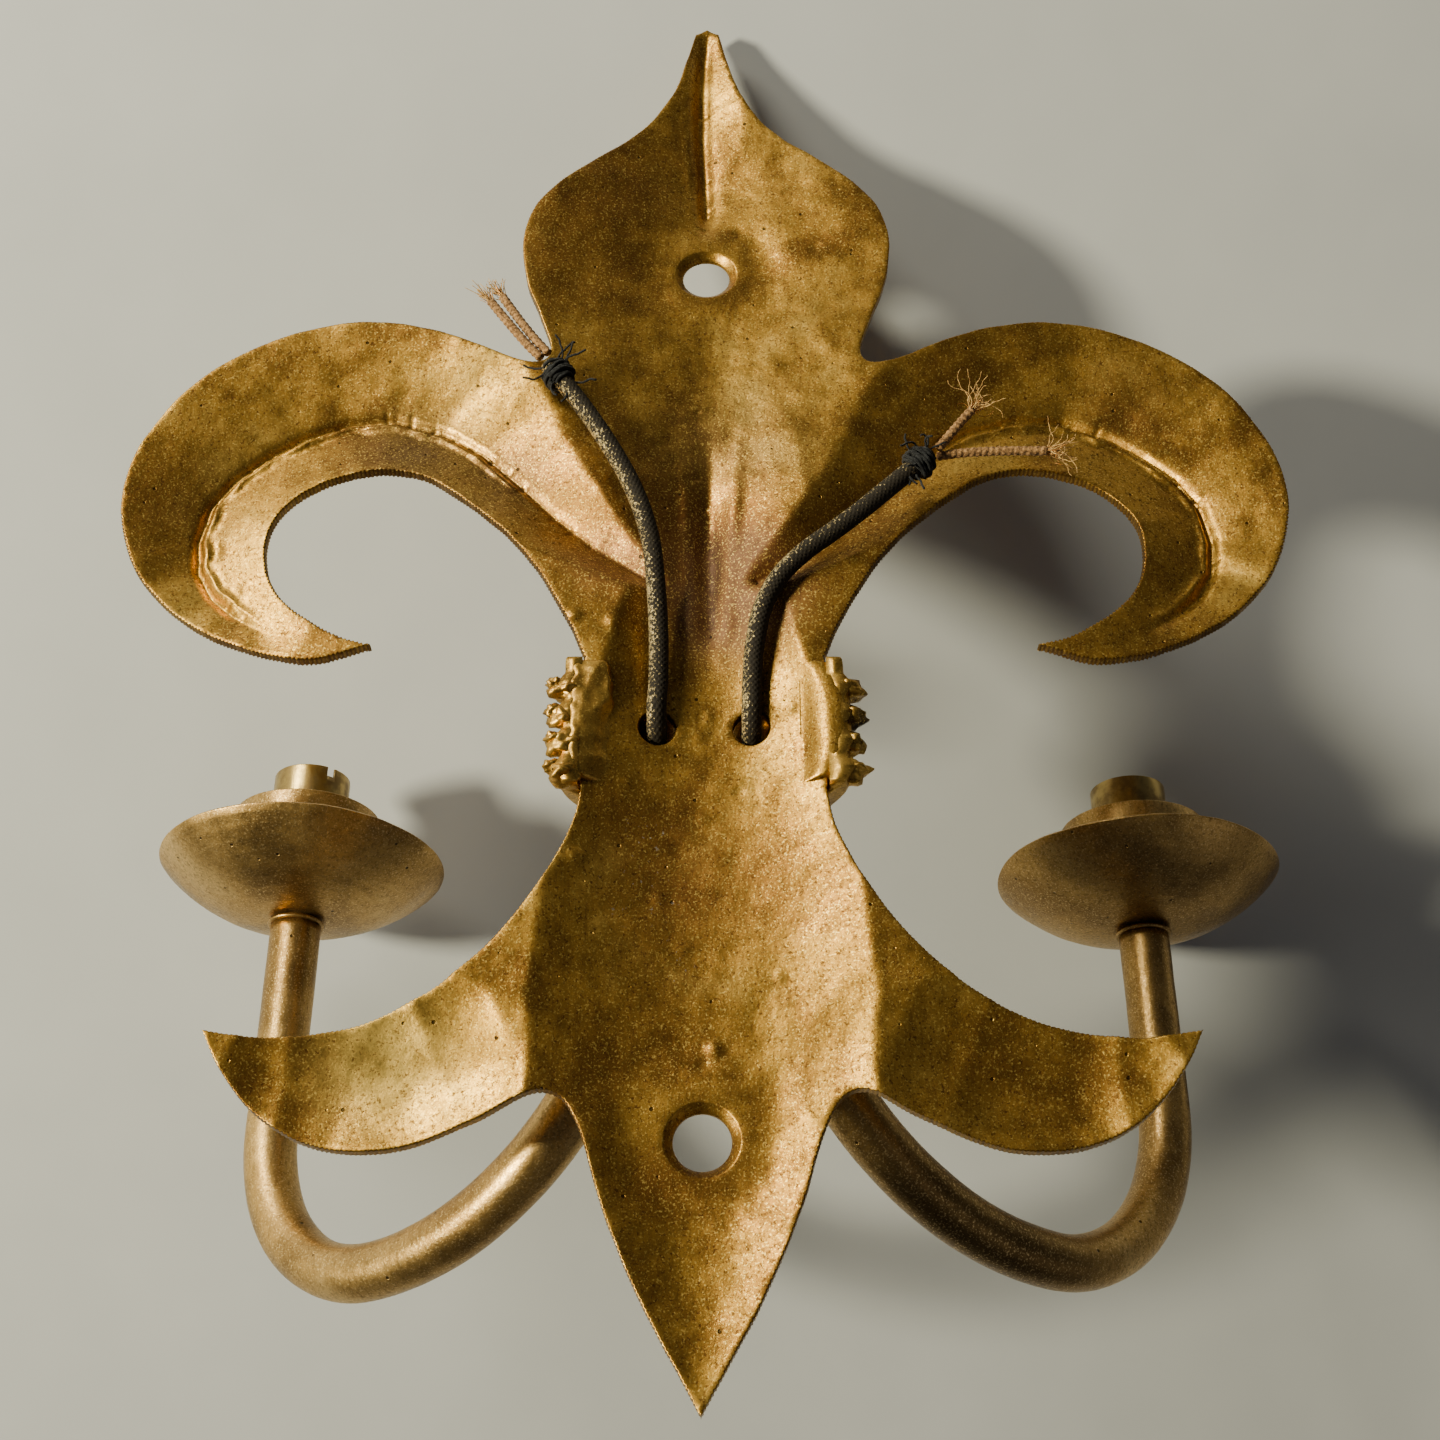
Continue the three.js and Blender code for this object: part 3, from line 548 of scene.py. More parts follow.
def chased(x, z):
    """Extra depth of the chiselled lines, in millimetres: a groove with a raised lip on the scrolls, and a
    sharp crease down the leaf."""
    across, share = beside_groove(x, z)
    wander = np.array([noise.noise((px / 7, pz / 7, 21)) for px, pz in zip(x, z)])
    strength = ramp(0.02, 0.22, share) * ramp(1, 0.88, share)
    groove = 1.5 * bell(across, -0.7, 1.3)
    lip = 1.15 * bell(across, 1.9 + 0.8 * wander, 1.15)
    step = 0.6 * bell(across, 4.6 + 1.2 * wander, 1.0) * np.clip(0.4 + 2 * wander, 0, 1)
    depth = strength * (groove - lip * (1 + 0.6 * wander) + step)
    crease = ramp(182, 196, z) * ramp(273, 259, z)
    bend = 1.2 * np.sin(z / 17)
    depth += crease * (1.9 * bell(x, 1.0 + bend, 2.6) - 0.55 * bell(x, 5.2 + bend, 1.8))
    fold = ramp(28, 36, z) * ramp(104, 74, z)
    for place, height, width in ((-7.0, 0.9, 2.2), (0.5, -1.5, 3.2), (6.5, 1.0, 2.4)):
        depth -= fold * height * bell(x + 1.5, place * (0.6 + (z - 28) / 120), width)
    return depth


def scattered(x, z):
    """Extra depth of weld spatter, which stands up, and rust pits, which are sunk."""
    rng = np.random.default_rng(4)
    beads = list(SPATTER)
    for _ in range(16):
        beads.append((rng.uniform(-30, 30), rng.uniform(-110, 60), rng.uniform(0.5, 0.9)))
    pits = [(rng.uniform(-45, 45), rng.uniform(-120, 210), rng.uniform(0.5, 1.0)) for _ in range(36)]
    depth = np.zeros_like(x)
    for bx, bz, radius in beads:
        depth -= 0.75 * radius * bell(np.hypot(x - bx, z - bz), 0, radius)
    for px, pz, radius in pits:
        depth += 0.5 * bell(np.hypot(x - px, z - pz), 0, radius)
    return depth


def beaten(x, z, seed, depth):
    """Small unevenness left by the hammer, in millimetres, at each point."""
    uneven = [depth * noise.noise((px / 15, pz / 15, seed))
              + 0.4 * depth * noise.noise((px / 5.5, pz / 5.5, seed + 9)) for px, pz in zip(x, z)]
    flat = np.ones_like(x)
    for hole_z in FIXING_HOLES:
        flat = np.minimum(flat, ramp(10, 18, np.hypot(x, z - hole_z)))
    return np.array(uneven) * flat


# ---------------- backplate

LEAF_AND_SCROLL_OUTER = [
    (4, 271), (9.5, 249), (16, 235), (25, 224), (37, 213), (50, 199), (56.5, 188), (58.5, 175),
    (56.5, 160), (52, 147), (48, 134.5), (49, 128.5), (54, 127), (61, 129.5), (70, 134), (83, 139.5),
    (98, 142.5), (113, 142), (128, 137.5), (142, 130), (155, 119), (163.5, 107), (169.5, 94),
    (172, 80), (170.5, 66), (165, 52), (157, 41.5), (147, 33), (135, 26), (122, 21), (109, 19.5),
    (94, 24.5),
]
SCROLL_INNER = [
    (94, 24.5), (103, 27.5), (112.5, 33), (121, 40.5), (126, 50), (127.5, 61), (125, 71), (118.5, 79),
    (109, 84.5), (95, 87.5), (83, 85), (72, 77), (60, 65.5), (50, 53), (43, 41), (37.5, 30), (33.5, 20),
]
WAIST = [(33.5, 20), (33.5, -20)]
LOBE_TOP = [
    (33.5, -20), (35, -29), (39, -40), (45.5, -52), (54, -64), (64, -74), (75, -81),
    (88, -86.5), (102, -89.5), (114, -90.5), (126.5, -89.5),
]
LOBE_BOTTOM_AND_FOOT = [
    (126.5, -89.5), (122.5, -97.5), (115, -107), (107, -113.5), (98, -117.5), (87, -119.5),
    (76, -118.8), (65, -115.5), (54, -111), (46, -107), (40, -104.8), (35.5, -106.3), (32.2, -111),
    (29, -119), (25.5, -131), (20.5, -144), (14.5, -157), (7, -170.5), (0, -183),
]
# Each run of the edge with how deep the shears' nibbled teeth are cut into it.
EDGE_RUNS = [
    ([(0, 273.5), (4, 271)], 0.0), (LEAF_AND_SCROLL_OUTER, 0.10), (SCROLL_INNER, 0.55),
    (WAIST, 0.0), (LOBE_TOP, 0.20), (LOBE_BOTTOM_AND_FOOT, 0.30),
]
EDGE_STEP = 0.62
FACE_STEP = 1.6
CREASE_STEP = 0.7
# Sections of the sheet's edges. The outer edge gives inset and depth, and the holes give radius and depth.
EDGE_ROUNDING = [
    (0.42, 0.0), (0.15, 0.06), (0.02, 0.25), (0.0, 0.6), (0.0, 2.9), (0.02, 3.25), (0.15, 3.44), (0.42, 3.5),
]
FIXING_WALL = [
    (10.1, 0.0), (9.75, 0.08), (9.5, 0.3), (8.6, 1.15), (7.6, 2.05), (7.42, 2.5), (7.4, 3.0), (7.5, 3.3),
    (7.8, 3.48), (10.1, 3.5),
]
CABLE_WALL = [(5.7, 0.0), (5.36, 0.08), (5.2, 0.4), (5.2, 3.1), (5.36, 3.42), (5.7, 3.5)]
HOLES = [(0, z, FIXING_WALL, 72) for z in FIXING_HOLES]
HOLES += [(side * CABLE_HOLE[0], CABLE_HOLE[1], CABLE_WALL, 48) for side in (-1, 1)]


def edge_loop(rng):
    """The cut edge as a closed loop with its nibbled teeth, and how dark each point of its wall is painted:
    darker in the notches, as painted shade.
    """
    right, teeth = [], []
    for run, depth in EDGE_RUNS:
        curve = spline(run, EDGE_STEP)[:-1]
        right.append(curve)
        teeth.append(np.full(len(curve), depth))
    right = np.vstack(right)
    teeth = np.concatenate(teeth)
    fall = (right[:, 0] > 92) & (right[:, 1] < 70) & (right[:, 1] > 0)
    teeth = np.where(fall, 0.55, teeth)
    foot = np.array([[0, -183.0]])
    loop = np.vstack([right, foot, right[:0:-1] * [-1, 1]])
    depth = np.concatenate([teeth, [0], teeth[:0:-1]])
    normals = loop_normals(loop)
    cut = depth * np.where(np.arange(len(loop)) % 2, 1, 0) * rng.uniform(0.6, 1.2, len(loop))
    wander = [0.22 * noise.noise((x / 9, z / 9, 3)) for x, z in loop]
    return loop - normals * (cut + wander)[:, None], np.clip(0.3 + 1.6 * cut, 0, 1)


def loop_normals(loop):
    """Outward normals of a closed loop that runs clockwise."""
    tangent = np.roll(loop, -2, axis=0) - np.roll(loop, 2, axis=0)
    tangent /= np.linalg.norm(tangent, axis=1)[:, None]
    return np.stack([-tangent[:, 1], tangent[:, 0]], axis=1)


def inset_loop(loop, distance):
    """The loop moved inwards, by less near sharp tips so that it doesn't cross itself."""
    ahead = np.roll(loop, -6, axis=0) - loop
    behind = loop - np.roll(loop, 6, axis=0)
    turn = np.sum(ahead * behind, axis=1) / (np.linalg.norm(ahead, axis=1) * np.linalg.norm(behind, axis=1))
    room = np.clip(0.5 + 0.5 * turn, 0.25, 1)
    room = np.minimum.reduce([np.roll(room, k) for k in range(-5, 6)])
    return loop - loop_normals(loop) * (distance * room)[:, None]


def circle(x, z, radius, count):
    angle = np.linspace(0, 2 * math.pi, count, endpoint=False)
    return np.stack([x + radius * np.cos(angle), z + radius * np.sin(angle)], axis=1)


def inside(points, loop):
    """Which points lie inside the loop."""
    x, z = points[:, 0], points[:, 1]
    result = np.zeros(len(points), bool)
    for (ax, az), (bx, bz) in zip(loop, np.roll(loop, -1, axis=0)):
        if az == bz:
            continue
        crosses = (az > z) != (bz > z)
        result ^= crosses & (x < ax + (z - az) * (bx - ax) / (bz - az))
    return result


def tree_of(points):
    tree = kdtree.KDTree(len(points))
    for i, (x, z) in enumerate(points):
        tree.insert((x, z, 0), i)
    tree.balance()
    return tree


def clear_of(others, points, distance):
    """The points that lie further than the distance from all the others."""
    tree = tree_of(others)
    return np.array([p for p in points if tree.find((*p, 0))[2] > distance])


def face_points(loop):
    """Points inside the sheet: an even grid, and closer ones along its creases."""
    rows = []
    for i, z in enumerate(np.arange(-184, 275, FACE_STEP * 0.87)):
        x = np.arange(-172, 172, FACE_STEP) + (i % 2) * FACE_STEP / 2
        rows.append(np.stack([x, np.full_like(x, z)], axis=1))
    grid = np.vstack(rows)
    creases = []
    for crease in (SCROLL_GROOVE, LEAF_CREASE):
        line = spline([(x, z) for x, z, _, _ in crease], CREASE_STEP)
        normals = np.stack([-np.gradient(line[:, 1]), np.gradient(line[:, 0])], axis=1)
        normals /= np.linalg.norm(normals, axis=1)[:, None]
        for k in range(-5, 6):
            moved = line + normals * k * CREASE_STEP
            creases += [moved, moved * [-1, 1]] if crease is SCROLL_GROOVE else [moved]
    creases = np.vstack(creases)
    points = np.vstack([clear_of(creases, grid, 1.1), thinned(creases, 0.45)])
    points = clear_of(loop, points[inside(points, loop)], 0.8)
    for x, z, section, _ in HOLES:
        points = points[np.hypot(points[:, 0] - x, points[:, 1] - z) > section[0][0] + 0.7]
    return points


def thinned(points, spacing):
    """The points without those that lie closer together than the spacing."""
    seen, kept = set(), []
    for p in points:
        cell = (round(p[0] / spacing), round(p[1] / spacing))
        if cell not in seen:
            seen.add(cell)
            kept.append(p)
    return np.array(kept)


def tick_marks(x, z, rng):
    """Short chisel marks across the creases, as extra depth in millimetres."""
    depth = np.zeros_like(x)
    groove = spline([(gx, gz) for gx, gz, _, _ in SCROLL_GROOVE], 7.5)
    marks = [(side * p[0], p[1], side * (q[0] - p[0]), q[1] - p[1])
             for side in (-1, 1) for p, q in zip(groove, groove[1:])]
    marks += [(0.5, z0, 0.3, 7) for z0 in (250, 238, 224, 211, 198, 188)]
    for mx, mz, dx, dz in marks:
        if rng.random() < 0.25:
            continue
        length = math.hypot(dx, dz)
        ux, uz = dx / length, dz / length
        along = (x - mx) * ux + (z - mz) * uz
        across = -(x - mx) * uz + (z - mz) * ux - rng.uniform(-1.5, 1.5)
        depth += 0.35 * bell(along, 0, 0.6) * np.exp(-(across / rng.uniform(1.2, 2.6)) ** 4)
    return depth


def flat_sheet(outer, loop):
    """Triangles of the flat sheet between its outline and its holes: all the points, the triangles, and the
    point that each point of the outline and the holes became."""
    loops = [outer] + [circle(x, z, section[0][0], count) for x, z, section, count in HOLES]
    edges, start = [], 0
    for part in loops:
        edges += [(start + i, start + (i + 1) % len(part)) for i in range(len(part))]
        start += len(part)
    points = np.vstack(loops + [face_points(loop)])
    found = geometry.delaunay_2d_cdt([Vector(p) for p in points], edges, [], 1, 1e-5)
    flat = np.array([tuple(v) for v in found[0]])
    origin = {old: new for new, olds in enumerate(found[3]) for old in olds}
    triangles = np.array(found[2])
    middle = flat[triangles].mean(axis=1)
    keep = np.ones(len(triangles), bool)
    start = len(outer)
    for x, z, section, count in HOLES:
        ring = [origin[i] for i in range(start, start + count)]
        keep &= ~np.isin(triangles, ring).all(axis=1)
        keep &= np.hypot(middle[:, 0] - x, middle[:, 1] - z) > section[0][0] * 0.97
        start += count
    return flat, triangles[keep], origin


def make_plate():
    rng = np.random.default_rng(11)
    loop, notch_shade = edge_loop(rng)
    outer = inset_loop(loop, EDGE_ROUNDING[0][0])
    flat, triangles, origin = flat_sheet(outer, loop)
    x, z = flat[:, 0], flat[:, 1]
    base = relief(x, z)
    rear = base + beaten(x, z, 1, 0.34) + tick_marks(x, z, rng) + chased(x, z) + scattered(x, z)
    front = base + PLATE_THICKNESS + beaten(x, z, 5, 0.5)
    count = len(flat)
    verts = [at(*p) for p in zip(x, rear, z)] + [at(*p) for p in zip(x, front, z)]
    faces = [tuple(t) for t in triangles] + [tuple(t[::-1] + count) for t in triangles]
    cut_wall_shade = [0.0] * len(verts)

    def wall(section, ring_at, start, shades):
        """Side wall from the rear face, through a ring at each point of the section, to the front face."""
        rear_ids = [origin[start + i] for i in range(len(shades))]
        levels = [rear_ids]
        for offset, depth in section[1:-1]:
            levels.append(list(range(len(verts), len(verts) + len(rear_ids))))
            share = depth / PLATE_THICKNESS
            for (px, pz), low, high in zip(ring_at(offset), rear[rear_ids], front[rear_ids]):
                verts.append(at(px, low + (high - low) * share, pz))
            cut_wall_shade.extend(shades)
        levels.append([i + count for i in rear_ids])
        for a, b in zip(levels, levels[1:]):
            faces.extend(ring_faces(a, b))

    wall(EDGE_ROUNDING, lambda inset: inset_loop(loop, inset), 0, notch_shade)
    start = len(outer)
    for hole_x, hole_z, section, number in HOLES:
        wall(section, lambda radius: circle(hole_x, hole_z, radius, number), start, [0.3] * number)
        start += number
    stands_for(new_object("plate", verts, faces, gilt, {"cut_wall_shade": cut_wall_shade}), "fleur_plate")


# ---------------- collar, braze and welds

BAND_OUTSIDE = [(0, 33), (13, 33), (22, 30.5), (28.5, 25), (33.5, 17.5), (37.5, 10), (39, 4), (38.5, -1.2)]
BAND_INSIDE = [(34, -1.2), (34, 5), (30, 9), (25.8, 14), (22.8, 20), (19, 26.6), (13, 28.9), (0, 28.9)]
BAND_MIDDLE = 8.0
COLLAR_BOTTOM, COLLAR_TOP = -19.3, 19.7
TEETH = (-15.0, -6.5, 2.2, 10.8)
TOOTH_REACH = 2.3


def tooth(z, angle):
    """How far the collar's sharp ridges stand out at a height, wandering a little round the band."""
    reach = 0.0
    for i, tip in enumerate(TEETH):
        height = tip + 0.9 * noise.noise((3 * angle, i * 5.0, 2))
        size = TOOTH_REACH * (1 + 0.28 * noise.noise((5 * angle, i * 7.0, 8)))
        reach = max(reach, size * max(0, 1 - abs(z - height) / 3.4) ** 0.8)
    return reach


def lump(centre, radii, seed):
    """An uneven knob, given half its size along x, forward and z in millimetres."""
    rings, around = 14, 20
    verts = []
    for i in range(rings + 1):
        tilt = math.pi * i / rings
        for j in range(around):
            angle = 2 * math.pi * j / around
            way = Vector((math.sin(tilt) * math.cos(angle), math.cos(tilt), math.sin(tilt) * math.sin(angle)))
            uneven = 1 + 0.55 * noise.noise(way * 1.7 + Vector((seed * 3.1, 0, 0)))
            verts.append(centre + Vector(w * r for w, r in zip(way, radii)) * uneven * MM)
    return verts, grid_faces(rings + 1, around)


def make_collar():
    outside = spline(BAND_OUTSIDE, 1.4)
    inner = spline(BAND_INSIDE, 2.0)
    right = np.vstack([outside, inner])
    left = right[::-1][1:-1] * [-1, 1]
    section = np.vstack([right, left])
    is_outside = np.concatenate([np.ones(len(outside)), np.zeros(len(inner))])
    is_outside = np.concatenate([is_outside, is_outside[::-1][1:-1]])
    verts = []
    heights = np.linspace(COLLAR_BOTTOM, COLLAR_TOP, 58)
    for z in heights:
        end = min(z - COLLAR_BOTTOM, COLLAR_TOP - z)
        soften = 0.5 * max(0, 1 - end / 0.7) ** 2
        for (x, forward), outer in zip(section, is_outside):
            away = np.array([x, forward - BAND_MIDDLE])
            away /= np.linalg.norm(away)
            angle = math.atan2(away[1], away[0])
            move = tooth(z, angle) - soften + 0.25 * noise.noise((x / 6, forward / 6, z / 6)) if outer else 0
            px, pf = x + away[0] * move, forward + away[1] * move
            verts.append(at(px, pf, z))
    shapes = [(verts, capped_faces(len(heights), len(section)))]
    for i, tip in enumerate(TEETH):
        shift = 1.3 * noise.noise((i * 2.7, 4, 4))
        size = 1 + 0.5 * noise.noise((i * 1.9, 9, 2))
        shapes.append(lump(at(38.4 + shift, 1.0, tip - 1.2), (4.8 * size, 3.4, 3.1), i))
        shapes.append(lump(at(41.5 + shift, 0.2, tip + 0.8), (2.4, 2.2, 1.9 * size), i + 30))
        shapes.append(lump(at(-40.2 - shift, 2.6, tip), (4.6 * size, 3.6, 2.9), i + 10))
    stands_for(new_object("collar", *joined(shapes), braze_gilt), "collar_band")


BRAZE_LOW, BRAZE_HIGH = -17.5, 19.5
BRAZE_ROWS = 64


def braze_section(side, z):
    """Closed [x, forward] section of the braze at a height: over the plate, round the band's end and back
    inside the metal. On the right it is a flap with a free upper edge, on the left a smooth bulge."""
    share = abs(2 * (z - BRAZE_LOW) / (BRAZE_HIGH - BRAZE_LOW) - 1)
    uneven = noise.noise((z / 4.5, side * 3, 0))
    if side > 0:
        swell = max(0.0, 1 - share ** 9) ** 0.5
        inner = 25.5 + 1.4 * uneven + 3.5 * (1 - swell)
        outer = 34.5 + 3.4 * swell + 0.9 * noise.noise((z / 2.6, 5, 1))
        reach = 0.08 + 0.75 * (1 - eased(-2, 9, z))
        flat, height, bend = 0.5, 0.9, 2.4
    else:
        swell = max(0.0, 1 - share ** 2.4) ** 0.5
        inner = 26.5
        outer = 34.2 + 6.6 * swell + 0.3 * uneven
        reach = 0.9
        flat, height, bend = 1.0, 0.3, 4.2
    shoulder = outer - bend
    top = []
    for t in np.linspace(0, 1, 22):
        x = inner + (shoulder - inner) * t
        dent = 0.35 * noise.noise((x / 3.5, z / 3.5, side * 4)) if side > 0 else 0
        share = eased(0, reach, t) * swell
        plate = float(relief(x, z)) + 0.25 * (1 - swell)
        top.append((x, plate + share * (flat * (-1.3 - plate) - height - dent)))
    edge = top[-1][1]
    turns = np.linspace(0, math.pi / 2, 8)[1:]
    corner = [(shoulder + bend * math.sin(t), edge + bend * (1 - math.cos(t))) for t in turns]
    back = [(outer - 0.2, edge + 6.5), (outer - 3.5, edge + 6.5), (33.2, 1.6)]
    return top + corner + back + [(inner, float(relief(inner, z)) + 0.9)]


def make_braze(name, side):
    """Braze run over the joint between the collar's end and the back of the plate."""
    verts = []
    for z in np.linspace(BRAZE_LOW, BRAZE_HIGH, BRAZE_ROWS):
        section = braze_section(side, z)
        verts += [at(side * x, forward, z) for x, forward in section]
    faces = capped_faces(BRAZE_ROWS, len(section))
    braze = new_object(f"braze_{name}", verts, faces, braze_gilt if side > 0 else gilt)
    stands_for(braze, f"collar_braze_{name}")


def make_arm_weld(name, side):
    """A run of overlapping weld ripples along the outer side of an arm, on the front of the plate."""
    path = [at(side * 21.4, 12.8, z) for z in np.linspace(-18, 12, 60)]

    def ripple(i, angle, along):
        return (3.0 + 0.35 * abs(math.sin(along / MM * math.pi / 3.4))) * MM

    weld = new_object(f"weld_{name}", *rod(path, ripple, 20), braze_gilt)
    stands_for(weld, f"arm_weld_{name}")


# ---------------- arms

TUBE_RADIUS, TUBE_BORE, TUBE_FORWARD, TUBE_TOP = 8.0, 5.85, 20.2, 14.0
ARM_X, ARM_YAW, ARM_SEAT = 13.2, math.radians(38), -13.0
# How far each arm drops from the waist before its bend, and the bend's two radii.
ARMS = {"left": (18, 108, 56), "right": (28, 102, 49)}
SLOT_TURN = {"left": math.radians(150), "right": math.radians(40)}


def arm_line(name):
    """Centreline of an arm in the frame: down under the collar, round a wide bend and up to the pan."""
    drop, big, small = ARMS[name]
    lowest = -drop - big
    turns = np.linspace(0, math.pi / 2, 60)
    out = np.concatenate([[0], big * (1 - np.cos(turns)), big + small * np.sin(turns)[1:], [big + small]])
    up = np.concatenate([[TUBE_TOP], -drop - big * np.sin(turns), lowest + small * (1 - np.cos(turns))[1:],
                         [ARM_SEAT]])
    line = resample(np.stack([out, up], axis=1), 2.0)
    along, ahead = SIDES[name] * math.cos(ARM_YAW), math.sin(ARM_YAW)
    return [at(SIDES[name] * ARM_X + o * along, TUBE_FORWARD + o * ahead, z) for o, z in line]


def make_arm(name):
    line = arm_line(name)
    seed = 3.0 if name == "left" else 8.0
    around = 40

    def dents(i, angle, along):
        return (TUBE_RADIUS + 0.16 * noise.noise((along * 60, math.cos(angle), seed))) * MM

    outer = swept_rings(line, dents, around)
    inner = swept_rings(line, lambda i, angle, along: TUBE_BORE * MM, around)
    faces = grid_faces(len(line), around)
    faces += [face[::-1] for face in grid_faces(len(line), around, len(outer))]
    for start in (0, len(outer) - around):
        ring = list(range(start, start + around))
        faces += ring_faces(ring, [len(outer) + i for i in ring])
    tube = new_object(f"arm_{name}", outer + inner, faces, bronze)
    stands_for(tube, f"arm_tube_{name}")
    paint(f"arm_flex_{name}", jacket)
    return line[-1]


# ---------------- pan, cup and lamp holder

PAN_RADIUS, PAN_DEPTH, PAN_WALL = 46.0, 19.0, 1.5
NIPPLE_RADIUS, NIPPLE_BORE, GAP = 5.0, 3.75, 0.3
CUP_RADIUS, CUP_TOP, CUP_WALL = 23.7, 38.5, 1.5
HOLDER_RADIUS, HOLDER_TOP = 12.4, 53.5
INNER = NIPPLE_RADIUS + GAP
NUT_RADIUS, NUT_MIDDLE = 9.6, 9.2
# Sections of the turned pieces: radius, and height above the end of the arm.
WASHER_PROFILE = [(INNER, 0.3), (8.8, 0.3), (9.2, 1), (8.4, 1.9), (INNER, 2.1)]
CUP_PROFILE = [
    (INNER, 5), (12, 5.2), (CUP_RADIUS - 2, 9.6), (CUP_RADIUS, 12), (CUP_RADIUS, CUP_TOP),
    (CUP_RADIUS - CUP_WALL, CUP_TOP), (CUP_RADIUS - CUP_WALL, 12.5), (CUP_RADIUS - 3, 11), (11.6, 6.7),
    (INNER, 6.6),
]
NUT_PROFILE = [(INNER, 7.2), (NUT_RADIUS, 7.2), (NUT_RADIUS, 11.2), (INNER, 11.2)]
NIPPLE_PROFILE = [(NIPPLE_BORE, -10), (NIPPLE_RADIUS, -10), (NIPPLE_RADIUS, 22), (NIPPLE_BORE, 22)]
HOLDER_PROFILE = [
    (INNER, 12.4), (8.2, 12.4), (8.2, 17), (HOLDER_RADIUS - 1, 18.6), (HOLDER_RADIUS, 20),
    (HOLDER_RADIUS, HOLDER_TOP), (HOLDER_RADIUS - 0.9, HOLDER_TOP), (HOLDER_RADIUS - 0.9, 20.4),
    (7.6, 18.4), (INNER, 18.4),
]
INSULATOR_PROFILE = [(2.2, 28), (11.1, 28), (11.1, 50.5), (8.4, 50.5), (8.4, 32), (2.2, 32)]
CONTACT_PROFILE = [(0.02, 27), (1.7, 27), (1.7, 32.3), (3.4, 32.3), (3.2, 34), (0.02, 34.8)]
SHELL_BOTTOM, SHELL_TOP, THREAD_PITCH = 35.2, 49.2, 3.5
SHELL_PROFILE = [(6.9, SHELL_BOTTOM), (7.9, SHELL_BOTTOM), (7.9, SHELL_TOP), (6.9, SHELL_TOP)]


def pan_underside(r):
    return 2.4 + PAN_DEPTH * (0.35 * (r / PAN_RADIUS) ** 2 + 0.65 * (r / PAN_RADIUS) ** 3)


def pan_profile():
    radii = [INNER, 10, 14, 18, 22, 26, 30, 34, 38, 41.5, 44.5]
    below = [(r, pan_underside(r)) for r in radii]
    above = [(r, pan_underside(r) + PAN_WALL) for r in reversed(radii)]
    return below + [(PAN_RADIUS, 21.8), (PAN_RADIUS - 1, 22.6)] + above


def beaten_pan(seed):
    """Shape of a pan that was beaten over a stake: slightly out of round and uneven."""
    def shape(r, angle, z):
        wave = noise.noise((math.cos(angle) * 1.2, math.sin(angle) * 1.2, seed))
        dent = noise.noise((r * math.cos(angle) / 9, r * math.sin(angle) / 9, seed + 4))
        return r + 0.35 * wave * (r / PAN_RADIUS), z + (0.9 * wave + 0.22 * dent) * (r / PAN_RADIUS) ** 2
    return shape


def screw_thread(r, angle, z):
    wave = math.cos(2 * math.pi * ((z - SHELL_BOTTOM) / THREAD_PITCH - angle / (2 * math.pi)))
    return r - 0.225 * (1 - wave), z


def nipple_thread(r, angle, z):
    wave = math.cos(2 * math.pi * (z - angle / (2 * math.pi)))
    return (r - 0.18 * (1 - wave), z) if r > NIPPLE_BORE + 0.6 else (r, z)


def hexagon(r, angle, z):
    """Six flats whose corners are turned off at the top and bottom."""
    flat = math.cos(math.pi / 6) / math.cos((angle % (math.pi / 3)) - math.pi / 6)
    chamfer = NUT_RADIUS - 0.9 * max(0, abs(z - NUT_MIDDLE) - 1.3)
    return (min(NUT_RADIUS * flat, chamfer) if r > 7 else r), z


def make_lamp(name, seat):
    """Everything that is stacked on the end of an arm."""
    pan = beaten_pan(2.0 if name == "left" else 6.0)
    pieces = [
        ("washer", "seat_washer", "bronzed_iron", WASHER_PROFILE, bronze, {}),
        ("pan", "drip_pan", "bronzed_iron", pan_profile(), bronze,
         {"around": 144, "step": 2.0, "shape": pan}),
        ("candle_cup", "cup", "bronzed_iron", CUP_PROFILE, bronze, {"around": 112}),
        ("threaded_nipple", "nipple", "steel", NIPPLE_PROFILE, steel,
         {"around": 40, "step": 0.25, "corner": 0.2, "shape": nipple_thread}),
        ("nut", "lock_nut", "steel", NUT_PROFILE, steel, {"step": 0.5, "shape": hexagon}),
        ("insulating_body", "insulator", "porcelain", INSULATOR_PROFILE, porcelain, {}),
        ("contact", "centre_contact", "copper", CONTACT_PROFILE, copper, {"around": 40}),
        ("screw_socket", "screw_shell", "copper", SHELL_PROFILE, copper,
         {"around": 64, "step": 0.3, "corner": 0.15, "shape": screw_thread}),
        ("lamp_holder", "holder_shell", "brass", HOLDER_PROFILE, brass, {}),
    ]
    for piece, node, slot, profile, material, options in pieces:
        made = turned(f"{piece}_{name}", profile, seat, material, **options)
        stands_for(made, f"{node}_{name}")
    saw_slot(made, SLOT_TURN[name] + math.pi / 2, seat)
    for number in (1, 2):
        paint(f"terminal_screw_{name}_{number}", steel)


